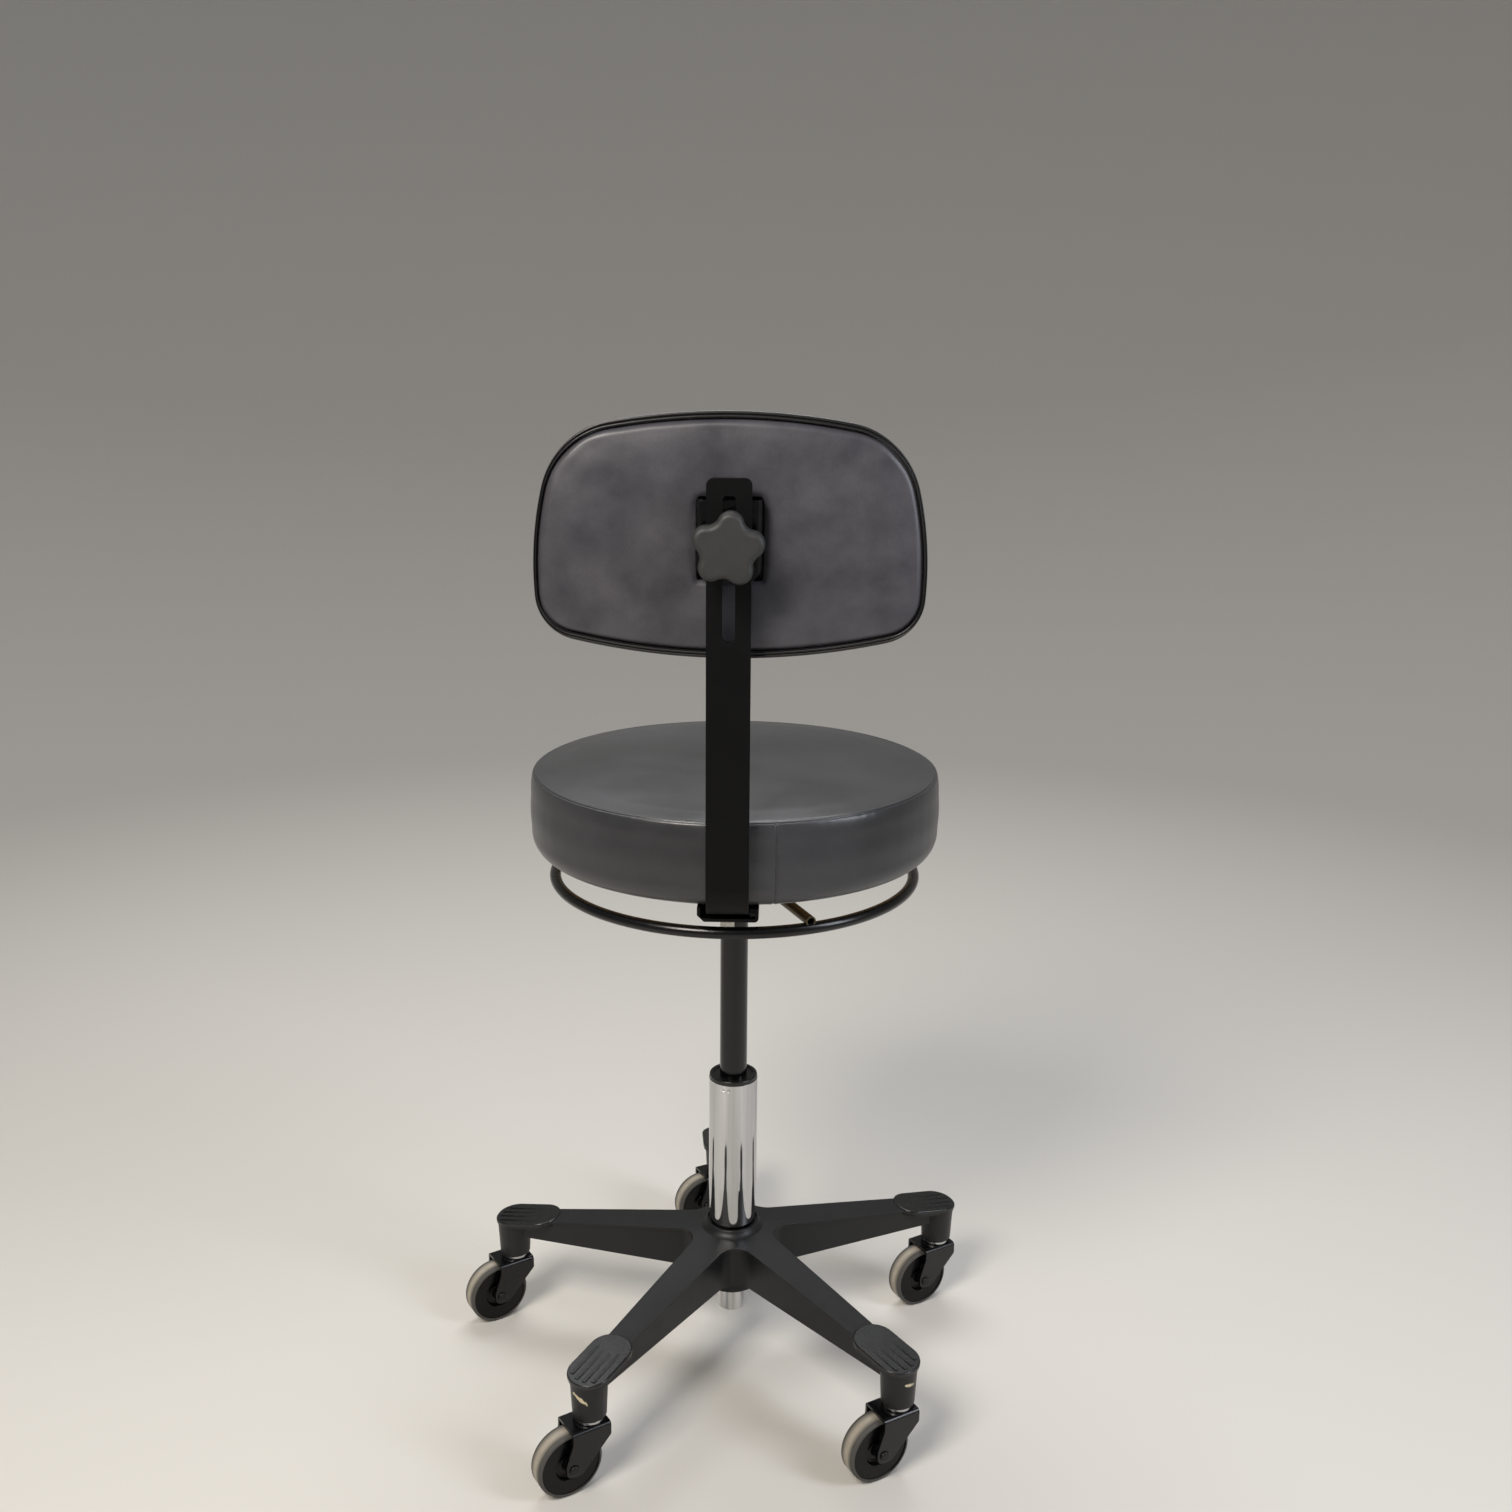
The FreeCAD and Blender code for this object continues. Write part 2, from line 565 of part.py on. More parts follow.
# ---------------------------------------------------------------------------------------------
# Five-arm base: one glass-filled nylon moulding
# ---------------------------------------------------------------------------------------------
def star_corners(inset):
    """Plan of the five arms, which narrow outwards and are joined by rounded inner corners."""
    root = f"(arm_root_width / 2 - {inset})"
    tip = f"(arm_tip_width / 2 - {inset})"
    taper = f"(({root} - {tip}) / pivot_radius)"
    inner = f"({root} / (sin(180 / arm_count) + {taper} * cos(180 / arm_count)))"
    corners = []
    for index in ARMS:
        turn = arm_turn(index)
        gap = f"({turn} - 180 / arm_count)"
        corners.append((f"{inner} * cos({gap})", f"{inner} * sin({gap})", "hub_blend"))
        for side in ("-", "+"):
            across = f"{side} {tip}"
            corners.append((
                f"pivot_radius * cos({turn}) - ({across}) * sin({turn})",
                f"pivot_radius * sin({turn}) + ({across}) * cos({turn})",
            ))
    return corners


def arm_top_at(radius):
    """Height of the arms' top at a distance from the column's axis."""
    return f"(arm_apex - tan(arm_fall) * ({radius}))"


def tilted_sketch(body, name, level, turn="0"):
    """A sketch on the slope of the arms' top, carried through the axis at a level."""
    sketch = new_sketch(body, name, "XY_Plane", level)
    slope = FreeCAD.Rotation(Vector(0, 1, 0), size("arm_fall"))
    yaw = FreeCAD.Rotation(Vector(0, 0, 1), size(turn))
    sketch.AttachmentOffset = FreeCAD.Placement(Vector(0, 0, size(level)), yaw.multiply(slope))
    bind(sketch, "AttachmentOffset.Base.z", level)
    return sketch


CUT_RADIUS = f"({TOE_TIP} + cut_reach)"
CUT_TOP = "(hub_top + cut_height)"
CUT_BOTTOM = "(hub_foot_height - cut_height)"


def make_star_base():
    body = new_body("star_base")
    # top flange of the arms, cut to a cone from below
    plan = new_sketch(body, "flange_plan", "XY_Plane", "hub_foot_height")
    draw_outline(plan, star_corners("0"))
    pad(body, "flange_block", plan, "hub_top - hub_foot_height + cut_over")
    groove(body, "flange_underside", [
        ("0", CUT_BOTTOM), (CUT_RADIUS, CUT_BOTTOM),
        (CUT_RADIUS, f"{arm_top_at(CUT_RADIUS)} - arm_lip_depth"), ("0", "arm_apex - arm_lip_depth"),
    ])
    # side walls, a little narrower than the flange
    plan = new_sketch(body, "wall_plan", "XY_Plane", "hub_foot_height")
    draw_outline(plan, star_corners("arm_lip"))
    pad(body, "wall_block", plan, "hub_top - hub_foot_height + cut_over")
    groove(body, "top_slope", [
        ("0", "arm_apex"), (CUT_RADIUS, arm_top_at(CUT_RADIUS)), (CUT_RADIUS, CUT_TOP), ("0", CUT_TOP),
    ])
    groove(body, "arm_underside", [
        ("hub_foot_dia / 2 - cut_over", CUT_BOTTOM), (CUT_RADIUS, CUT_BOTTOM), (CUT_RADIUS, "arm_bottom"),
        ("hub_foot_dia / 2 - cut_over", "arm_bottom"),
    ])
    # hub boss down to its flat lower face, and the flared collar round the column
    plan = new_sketch(body, "hub_plan", "XY_Plane", "hub_foot_height")
    draw_circle(plan, "0", "0", "hub_foot_dia / 2")
    pad(body, "hub_boss", plan, "arm_bottom + arm_lip_depth - hub_foot_height")
    collar_foot = f"{arm_top_at('hub_collar_radius')} - collar_sink"
    revolve(body, "hub_collar", [
        ("taper_radius - 2 * cut_over", "arm_bottom + arm_lip_depth"),
        ("hub_flare_reach", "arm_bottom + arm_lip_depth"),
        ("hub_flare_reach", f"{arm_top_at('hub_flare_reach')} - cut_over"),
        ("hub_collar_radius", collar_foot, "hub_flare_round"),
        ("hub_collar_radius - collar_chamfer", "hub_top + collar_chamfer"),
        ("taper_radius - 2 * cut_over", "hub_top + collar_chamfer"),
    ])
    # hollow under each arm, divided by cross ribs
    first = "(hub_foot_dia / 2 + arm_cell_start)"
    last = "(pivot_radius - socket_top_dia / 2 - arm_cell_gap)"
    half_rib = "arm_rib / 2"
    cells = new_sketch(body, "arm_cells", "XZ_Plane")
    for cell in range(int(size("arm_cell_count"))):
        start = f"({first} + ({last} - {first}) * {cell} / arm_cell_count + {half_rib})"
        end = f"({first} + ({last} - {first}) * {cell + 1} / arm_cell_count - {half_rib})"
        roof_start = f"{arm_top_at(start)} - arm_skin"
        roof_end = f"{arm_top_at(end)} - arm_skin"
        draw_outline(cells, [(start, CUT_BOTTOM), (end, CUT_BOTTOM), (end, roof_end), (start, roof_start)])
    cells.AttachmentOffset = FreeCAD.Placement(Vector(), FreeCAD.Rotation(Vector(0, 1, 0), size(arm_turn(0))))
    bind(cells, "AttachmentOffset.Rotation.Angle", arm_turn(0))
    hollow = pocket(body, "arm_hollows", cells, "arm_tip_width - 2 * arm_lip - 2 * arm_wall", symmetric=True)
    polar(body, "all_hollows", [hollow], "arm_count")
    # toe plate and stem socket at each tip, and the sloping seat of the toe cap
    toe = tilted_sketch(body, "toe_plan", TOE_SEAT, arm_turn(0))
    draw_outline(toe, toe_corners("toe_plate_inset"))
    toe_plate = pad(body, "toe_plate", toe, "toe_plate_thick", backwards=True)
    cone = body.newObject("PartDesign::AdditiveCone", "socket_cone")
    bind(cone, "Radius1", "socket_foot_dia / 2")
    bind(cone, "Radius2", "socket_top_dia / 2")
    bind(cone, "Height", "socket_height")
    cone.AttachmentSupport = [(datum(body, "XY_Plane"), "")]
    cone.MapMode = "FlatFace"
    bind(cone, "AttachmentOffset.Base.x", f"pivot_radius * cos({arm_turn(0)})")
    bind(cone, "AttachmentOffset.Base.y", f"pivot_radius * sin({arm_turn(0)})")
    bind(cone, "AttachmentOffset.Base.z", "socket_bottom")
    polar(body, "all_tips", [toe_plate, cone], "arm_count")
    seat = tilted_sketch(body, "toe_seat_plan", TOE_SEAT, arm_turn(0))
    draw_outline(seat, toe_corners("-fit_gap"))
    toe_seat = pocket(body, "toe_seat", seat, "toe_seat_clear", backwards=True)
    polar(body, "all_toe_seats", [toe_seat], "arm_count")
    bore = new_sketch(body, "stem_bore_plan", "XY_Plane", "socket_bottom")
    draw_circle(bore, f"pivot_radius * cos({arm_turn(0)})", f"pivot_radius * sin({arm_turn(0)})",
                "stem_dia / 2 + fit_gap")
    stem_bore = pocket(body, "stem_bore", bore, "stem_top - socket_bottom + fit_gap", backwards=True)
    polar(body, "all_bores", [stem_bore], "arm_count")
    # tapered bore for the column
    groove(body, "column_taper", [
        ("0", CUT_BOTTOM), (f"{taper_at(CUT_BOTTOM)} + fit_gap", CUT_BOTTOM),
        (f"{taper_at(CUT_TOP)} + fit_gap", CUT_TOP), ("0", CUT_TOP),
    ])
    return body


def taper_at(height):
    """Radius of the column's taper at a height."""
    return f"(taper_radius + taper_slope * ({height} - hub_top))"


def toe_corners(inset):
    """Outline of a toe, nearly half round at both ends, measured along the slope."""
    half = f"(toe_width / 2 - ({inset}))"
    start = f"({TOE_START} + ({inset})) / cos(arm_fall)"
    tip = f"({TOE_TIP} - ({inset})) / cos(arm_fall)"
    end_round = f"{half} * toe_end_share"
    return [
        (start, f"-{half}", end_round), (tip, f"-{half}", end_round),
        (tip, half, end_round), (start, half, end_round),
    ]


def make_toe_cap(index):
    """A plastic cap on the tip of an arm, with ribs that fade inwards."""
    body = new_body(f"toe_cap_{index + 1}")
    plan = tilted_sketch(body, body.Name + "_plan", TOE_SEAT)
    draw_outline(plan, toe_corners("0"))
    block = pad(body, body.Name + "_block", plan, "toe_height")
    slope, level = size("tan(arm_fall)"), size(TOE_TOP)
    round_edges(body, body.Name + "_edge", block,
                lambda edge: middle(edge).z + slope * middle(edge).x > level - 0.01, "toe_round")
    for number, rib in enumerate((-1.5, -0.5, 0.5, 1.5)):
        side = new_sketch(body, f"{body.Name}_rib_{number}_side", "XZ_Plane", f"{rib} * toe_rib_pitch")
        back = "toe_rib_end + toe_rib_step" if abs(rib) > 1 else "toe_rib_end"
        tip = f"({TOE_TIP} - ({back}))"
        root = f"({tip} - toe_rib_length)"
        draw_outline(side, [
            (root, f"{toe_top_at(root)} - 1"), (tip, f"{toe_top_at(tip)} - 1"),
            (tip, f"{toe_top_at(tip)} + toe_rib_height", "toe_rib_height"), (root, toe_top_at(root)),
        ])
        pad(body, f"{body.Name}_rib_{number}", side, "toe_rib_width", symmetric=True)
    return place(body, turn=arm_turn(index))


def toe_top_at(radius):
    """Height of a toe cap's top at a distance from the column's axis."""
    return f"({TOE_TOP} - tan(arm_fall) * ({radius}))"


# ---------------------------------------------------------------------------------------------
# Column and gas spring
# ---------------------------------------------------------------------------------------------
def make_column_tube():
    body = new_body("column_tube")
    straight_from = "(hub_top + (tube_dia / 2 - taper_radius) / taper_slope)"
    taper_foot = taper_at("hub_foot_height")
    step = "(hub_foot_height + tube_step)"
    revolve(body, "tube_turning", [
        ("stub_dia / 2", "stub_bottom", "tube_edge_round"),
        ("stub_dia / 2", "hub_foot_height"),
        (taper_foot, "hub_foot_height"),
        ("tube_dia / 2", straight_from),
        ("tube_dia / 2", "tube_top"),
        ("tube_dia / 2 - tube_wall", "tube_top"),
        ("tube_dia / 2 - tube_wall", straight_from),
        (f"{taper_at(step)} - tube_wall", step),
        ("stub_dia / 2 - stub_wall", step),
        ("stub_dia / 2 - stub_wall", FLOOR_TOP),
        ("rod_dia / 2 + run_gap", FLOOR_TOP),
        ("rod_dia / 2 + run_gap", "stub_floor"),
        ("stub_dia / 2 - stub_wall", "stub_floor"),
        ("stub_dia / 2 - stub_wall", "stub_bottom"),
    ])
    for side in (-1, 1):
        dent = body.newObject("PartDesign::SubtractiveSphere", f"stake_{side + 2}")
        bind(dent, "Radius", "stake_radius")
        dent.AttachmentSupport = [(datum(body, "XY_Plane"), "")]
        dent.MapMode = "FlatFace"
        across = f"(stake_offset + {side} * stake_pitch / 2)"
        bind(dent, "AttachmentOffset.Base.x", across)
        bind(dent, "AttachmentOffset.Base.y", f"sqrt((tube_dia / 2) ^ 2 - {across} ^ 2) + stake_rise")
        bind(dent, "AttachmentOffset.Base.z", "tube_top - stake_drop")
    return body


def make_guide_bush():
    outer = "tube_dia / 2 - tube_wall - fit_gap"
    bore = "stage_dia / 2 + run_gap"
    top = "(tube_top + bush_collar_height)"
    return turned("guide_bush", [
        (outer, "tube_top - bush_length"), (outer, "tube_top"), ("bush_collar_dia / 2", "tube_top"),
        ("bush_collar_dia / 2", top, "1.2"), ("bush_collar_dia / 2 - 3.5", top, "0.8"),
        ("bush_collar_dia / 2 - 4.5", f"{top} - bush_recess"), (bore, f"{top} - bush_recess"),
        (bore, "tube_top - bush_length"),
    ])


def make_piston_rod():
    rod = "rod_dia / 2"
    groove_top = "(stub_floor - run_gap)"
    piston_bottom = f"({STAGE_FLOOR} + piston_lift)"
    piston_top = f"({piston_bottom} + piston_height)"
    return turned("piston_rod", [
        ("0", "rod_foot"), (rod, "rod_foot"), (rod, f"{groove_top} - clip_height"),
        (f"{rod} - 1", f"{groove_top} - clip_height"), (f"{rod} - 1", groove_top), (rod, groove_top),
        (rod, f"{SHOULDER_BOTTOM} + fit_gap"), ("rod_shoulder_dia / 2", f"{SHOULDER_BOTTOM} + fit_gap"),
        ("rod_shoulder_dia / 2", SHOULDER_TOP), (rod, SHOULDER_TOP), (rod, piston_bottom),
        ("stage_dia / 2 - stage_wall - run_gap", piston_bottom),
        ("stage_dia / 2 - stage_wall - run_gap", piston_top), ("0", piston_top),
    ])


def make_retaining_clip():
    """The clip snapped into the rod's groove, in the recess under the tube's floor."""
    top = "(stub_floor - run_gap)"
    return turned("retaining_clip", [
        ("rod_dia / 2 - 1 + fit_gap", f"{top} - clip_height + fit_gap"),
        ("clip_dia / 2", f"{top} - clip_height + fit_gap"), ("clip_dia / 2", f"{top} - fit_gap"),
        ("rod_dia / 2 - 1 + fit_gap", f"{top} - fit_gap"),
    ])


def make_thrust_bearing():
    low = f"({FLOOR_TOP} + fit_gap)"
    high = f"({SHOULDER_BOTTOM} - fit_gap)"
    middle_low = f"({low} + bearing_race_thick)"
    middle_high = f"({high} - bearing_race_thick)"
    bore = "rod_dia / 2 + run_gap"
    cage = "bearing_dia / 2 - bearing_cage_inset"
    return turned("thrust_bearing", [
        (bore, low), ("bearing_dia / 2", low), ("bearing_dia / 2", middle_low),
        (cage, middle_low), (cage, middle_high),
        ("bearing_dia / 2", middle_high), ("bearing_dia / 2", high), (bore, high),
    ])


def make_bump_stop():
    bore = "rod_dia / 2 + fit_gap"
    low = f"({SHOULDER_TOP} + fit_gap)"
    return turned("bump_stop", [
        (bore, low), ("bump_dia / 2", low), ("bump_dia / 2", f"{low} + bump_height", "bump_round"),
        (bore, f"{low} + bump_height"),
    ])


def cone_at(height):
    """Radius of the gas cylinder's upper taper at a height."""
    fall = f"(stage_dia / 2 - stage_taper_radius) / ({STAGE_TOP} - stage_taper_start)"
    return f"(stage_dia / 2 - {fall} * ({height} - stage_taper_start))"


def make_gas_cylinder():
    inside = "stage_dia / 2 - stage_wall"
    valve = f"({STAGE_TOP} - stage_valve)"
    return turned("gas_cylinder", [
        ("rod_dia / 2 + run_gap", "stage_bottom"), ("stage_dia / 2", "stage_bottom", "1"),
        ("stage_dia / 2", "stage_taper_start"), ("stage_taper_radius", STAGE_TOP),
        ("button_dia / 2 + run_gap", STAGE_TOP), ("button_dia / 2 + run_gap", valve),
        (f"{inside} - stage_shoulder_inset", valve), (inside, "stage_taper_start - stage_shoulder"),
        (inside, STAGE_FLOOR),
        ("rod_dia / 2 + run_gap", STAGE_FLOOR),
    ])


def make_valve_button():
    stalk = "button_dia / 2"
    foot = f"({STAGE_TOP} - stage_valve + button_stalk_end)"
    neck = "(button_top - button_head_height)"
    return turned("valve_button", [
        ("0", foot), (stalk, foot), (stalk, neck),
        ("button_head_dia / 2", neck), ("button_head_dia / 2", "button_top", "1"), ("0", "button_top"),
    ])


# ---------------------------------------------------------------------------------------------
# Seat
# ---------------------------------------------------------------------------------------------
def screw_place(x, y):
    return f"{x} * plate_hole_pitch / 2", f"{y} * plate_hole_pitch / 2"


def make_seat_plate():
    """Square plate under the board, with the tapered socket welded into it."""
    body = new_body("seat_plate")
    plan = new_sketch(body, "plate_plan", "XY_Plane", PLATE_BOTTOM)
    half = "plate_size / 2"
    draw_outline(plan, rectangle(f"-{half}", half, f"-{half}", half, "plate_corner"))
    pad(body, "plate_sheet", plan, "plate_thick")
    socket_end = f"({PLATE_BOTTOM} + socket_proud)"
    revolve(body, "socket_turning", [
        (f"{cone_at('cone_bottom')} + fit_gap", "cone_bottom"), ("cone_dia / 2", "cone_bottom", "1"),
        ("cone_dia / 2", socket_end), (f"{cone_at(PLATE_BOTTOM)} + fit_gap", socket_end),
    ])
    bore = new_sketch(body, "plate_bore_plan", "XY_Plane", PLATE_BOTTOM)
    draw_circle(bore, "0", "0", "plate_bore_radius")
    pocket(body, "plate_bore", bore, "plate_thick", backwards=True)
    holes = new_sketch(body, "plate_holes_plan", "XY_Plane", PLATE_BOTTOM)
    for x, y in SCREW_SIDES:
        draw_circle(holes, *screw_place(x, y), "screw_dia / 2 + run_gap")
    slot_half = "lever_width / 2 + lever_slot_margin / 2"
    draw_outline(holes, rectangle(
        f"-({slot_half})", slot_half, "-(lever_offset + lever_thick + lever_slot_margin)",
        "-(lever_offset - lever_slot_margin)", "1.5"))
    pocket(body, "plate_holes", holes, "plate_thick", backwards=True)
    return body


def make_seat_screw(index, side):
    head = f"({PLATE_BOTTOM} - screw_head_height)"
    body = turned(f"seat_screw_{index + 1}", [
        ("0", head), ("screw_head_dia / 2 - 1", head), ("screw_head_dia / 2", f"{head} + screw_head_rim"),
        ("screw_head_dia / 2", PLATE_BOTTOM), ("screw_dia / 2", PLATE_BOTTOM),
        ("screw_dia / 2", "board_bottom + screw_length - screw_tip"), ("0", "board_bottom + screw_length"),
    ])
    return place(body, *screw_place(*side))


def bolt_place(index):
    return f"(bar_bolt_first + {index} * bar_bolt_pitch)"


def make_seat_board():
    body = new_body("seat_board")
    plan = new_sketch(body, "board_plan", "XY_Plane", "board_bottom")
    draw_circle(plan, "0", "0", "board_radius")
    draw_circle(plan, "0", "0", "board_well_radius")
    pad(body, "board_disc", plan, "board_thick")
    screws = new_sketch(body, "board_screw_plan", "XY_Plane", "board_bottom")
    for x, y in SCREW_SIDES:
        draw_circle(screws, *screw_place(x, y), "screw_dia / 2 + fit_gap")
    pocket(body, "board_screw_holes", screws, "screw_length + screw_hole_end", backwards=True)
    barrels = new_sketch(body, "board_barrel_plan", "XY_Plane", "board_bottom")
    flanges = new_sketch(body, "board_flange_plan", "XY_Plane", BOARD_TOP)
    for index in range(2):
        draw_circle(barrels, "0", bolt_place(index), "tee_barrel_dia / 2 + fit_gap")
        draw_circle(flanges, "0", bolt_place(index), "tee_flange_dia / 2 + fit_gap")
    pocket(body, "board_barrels", barrels, "board_thick", backwards=True)
    pocket(body, "board_counterbores", flanges, "tee_flange_thick + fit_gap")
    return body


def make_seat_cushion():
    recess = "(board_radius + soft_gap)"
    roof = f"({BOARD_TOP} + soft_gap)"
    return turned("seat_cushion", [
        (recess, "seat_bottom"), ("seat_radius", "seat_bottom", "seat_bottom_round"),
        ("seat_radius", "seat_seam_height", "seat_top_round"), ("0", "seat_crown"),
        ("0", roof), (recess, roof),
    ])


# ---------------------------------------------------------------------------------------------
# Release ring
# ---------------------------------------------------------------------------------------------
def make_release_ring():
    body = new_body("release_ring")
    section = new_sketch(body, "ring_section", "XZ_Plane")
    draw_circle(section, "ring_radius", "ring_height", "ring_rod_radius")
    feature = body.newObject("PartDesign::Revolution", "ring_turning")
    feature.Profile = section
    feature.ReferenceAxis = (section, ["V_Axis"])
    feature.Angle = 360
    return body


def make_spoke(index):
    """A tube that butts on the hub and is coped over the ring."""
    body = new_body(f"ring_spoke_{index + 1}")
    section = new_sketch(body, body.Name + "_section", "YZ_Plane", "ring_hub_bore + 4")
    draw_circle(section, "0", "spoke_height", "spoke_dia / 2")
    draw_circle(section, "0", "spoke_height", "spoke_dia / 2 - spoke_wall")
    pad(body, body.Name + "_tube", section, "ring_radius + spoke_overhang - ring_hub_bore - 4")
    cope = new_sketch(body, body.Name + "_cope_section", "XZ_Plane")
    draw_circle(cope, "ring_radius", "ring_height", "ring_rod_radius + ring_weld_flat")
    coping = body.newObject("PartDesign::Groove", body.Name + "_cope")
    coping.Profile = cope
    coping.ReferenceAxis = (cope, ["V_Axis"])
    coping.Angle = 360
    groove(body, body.Name + "_butt", [
        ("0", "spoke_height - spoke_dia"), ("ring_hub_radius + ring_weld_flat", "spoke_height - spoke_dia"),
        ("ring_hub_radius + ring_weld_flat", "spoke_height + spoke_dia"), ("0", "spoke_height + spoke_dia"),
    ])
    return place(body, turn=f"spoke_turn + {index} * 360 / spoke_count")


def make_ring_hub():
    body = new_body("ring_hub")
    plan = new_sketch(body, "hub_ring_plan", "XY_Plane", HUB_RING_BOTTOM)
    draw_circle(plan, "0", "0", "ring_hub_radius")
    draw_circle(plan, "0", "0", "ring_hub_bore")
    pad(body, "hub_ring", plan, "ring_hub_height")
    lug = new_sketch(body, "lug_plan", "XY_Plane", HUB_RING_BOTTOM)
    half_lug = "tilt_lug_width / 2"
    draw_outline(lug, rectangle(f"-{half_lug}", half_lug, "ring_hub_bore + 3", "tilt_lug_end", "1"))
    pad(body, "hub_lug", lug, "ring_hub_height")
    bore = new_sketch(body, "lug_bore_section", "YZ_Plane")
    draw_circle(bore, "tilt_reach", "spoke_height", "tilt_pin_dia / 2 + run_gap")
    pocket(body, "lug_bore", bore, "tilt_lug_width + 2 * cut_over", symmetric=True)
    return body


def make_tilt_bracket():
    """A folded bracket under the plate whose two ears carry the ring's hinge pin."""
    body = new_body("tilt_bracket")
    section = new_sketch(body, "bracket_fold_section", "XZ_Plane", "-tilt_reach")
    low = "tilt_ear_bottom"
    draw_outline(section, [
        (f"-{EAR_OUTER}", low), (f"-{EAR_INNER}", low), (f"-{EAR_INNER}", f"{PLATE_BOTTOM} - tilt_ear_thick"),
        (EAR_INNER, f"{PLATE_BOTTOM} - tilt_ear_thick"), (EAR_INNER, low), (EAR_OUTER, low),
        (EAR_OUTER, PLATE_BOTTOM, "tilt_ear_thick"), (f"-{EAR_OUTER}", PLATE_BOTTOM, "tilt_ear_thick"),
    ])
    pad(body, "bracket_fold", section, "tilt_ear_length", symmetric=True)
    bore = new_sketch(body, "ear_bore_section", "YZ_Plane")
    draw_circle(bore, "tilt_reach", "spoke_height", "tilt_pin_dia / 2 + fit_gap")
    pocket(body, "ear_bore", bore, f"2 * {EAR_OUTER} + 2", symmetric=True)
    return body


def make_tilt_pin():
    body = new_body("tilt_pin")
    section = new_sketch(body, "pin_section", "YZ_Plane")
    draw_circle(section, "tilt_reach", "spoke_height", "tilt_pin_dia / 2")
    pad(body, "pin_shank", section, f"2 * {EAR_OUTER} + 1", symmetric=True)
    head = new_sketch(body, "pin_head_section", "YZ_Plane", f"{EAR_OUTER} + 0.5")
    draw_circle(head, "tilt_reach", "spoke_height", "tilt_pin_dia / 2 + 1.5")
    pad(body, "pin_head", head, "1.5")
    return body


def make_release_lever():
    """A strap that stands on the hub, passes the plate and reaches over the valve button."""
    body = new_body("release_lever")
    side = new_sketch(body, "lever_side", "YZ_Plane")
    outer = "-(lever_offset + lever_thick)"
    draw_outline(side, [
        (outer, HUB_RING_TOP), ("-lever_offset", HUB_RING_TOP), ("-lever_offset", LEVER_BOTTOM, "1"),
        ("lever_nose", LEVER_BOTTOM), ("lever_nose", f"{LEVER_BOTTOM} + lever_thick", "1"),
        (outer, f"{LEVER_BOTTOM} + lever_thick", "3"),
    ])
    pad(body, "lever_strap", side, "lever_width", symmetric=True)
    return body


# ---------------------------------------------------------------------------------------------
# Bent bar and its channel under the seat
# ---------------------------------------------------------------------------------------------
def make_back_bar():
    body = new_body("back_bar")
    side = new_sketch(body, "bar_side", "YZ_Plane")
    draw_outline(side, [
        ("bar_start", BAR_BOTTOM), ("bar_reach", BAR_BOTTOM, "bar_bend + bar_thick"),
        ("bar_reach", "bar_top"), (BAR_FACE, "bar_top"), (BAR_FACE, "board_bottom", "bar_bend"),
        ("bar_start", "board_bottom"),
    ])
    strip = pad(body, "bar_strip", side, "bar_width", symmetric=True)
    top = size("bar_top")
    longest = size("bar_thick + 0.1")
    round_edges(body, "bar_corners", strip,
                lambda edge: abs(middle(edge).z - top) < 0.01 and edge.Length < longest, "bar_corner")
    slot = new_sketch(body, "bar_slot_outline", "XZ_Plane", "-bar_reach - 5 * cut_over")
    half = "slot_width / 2"
    draw_outline(slot, rectangle(f"-{half}", half, "slot_low", "slot_high", f"{half} - 0.02"))
    pocket(body, "bar_slot", slot, "bar_thick + 10 * cut_over", backwards=True)
    holes = new_sketch(body, "bar_hole_plan", "XY_Plane", f"{BAR_BOTTOM} - 1")
    for index in range(2):
        draw_circle(holes, "0", bolt_place(index), "bolt_dia / 2 + fit_gap")
    pocket(body, "bar_holes", holes, "bar_thick + 2 * cut_over", backwards=True)
    return body


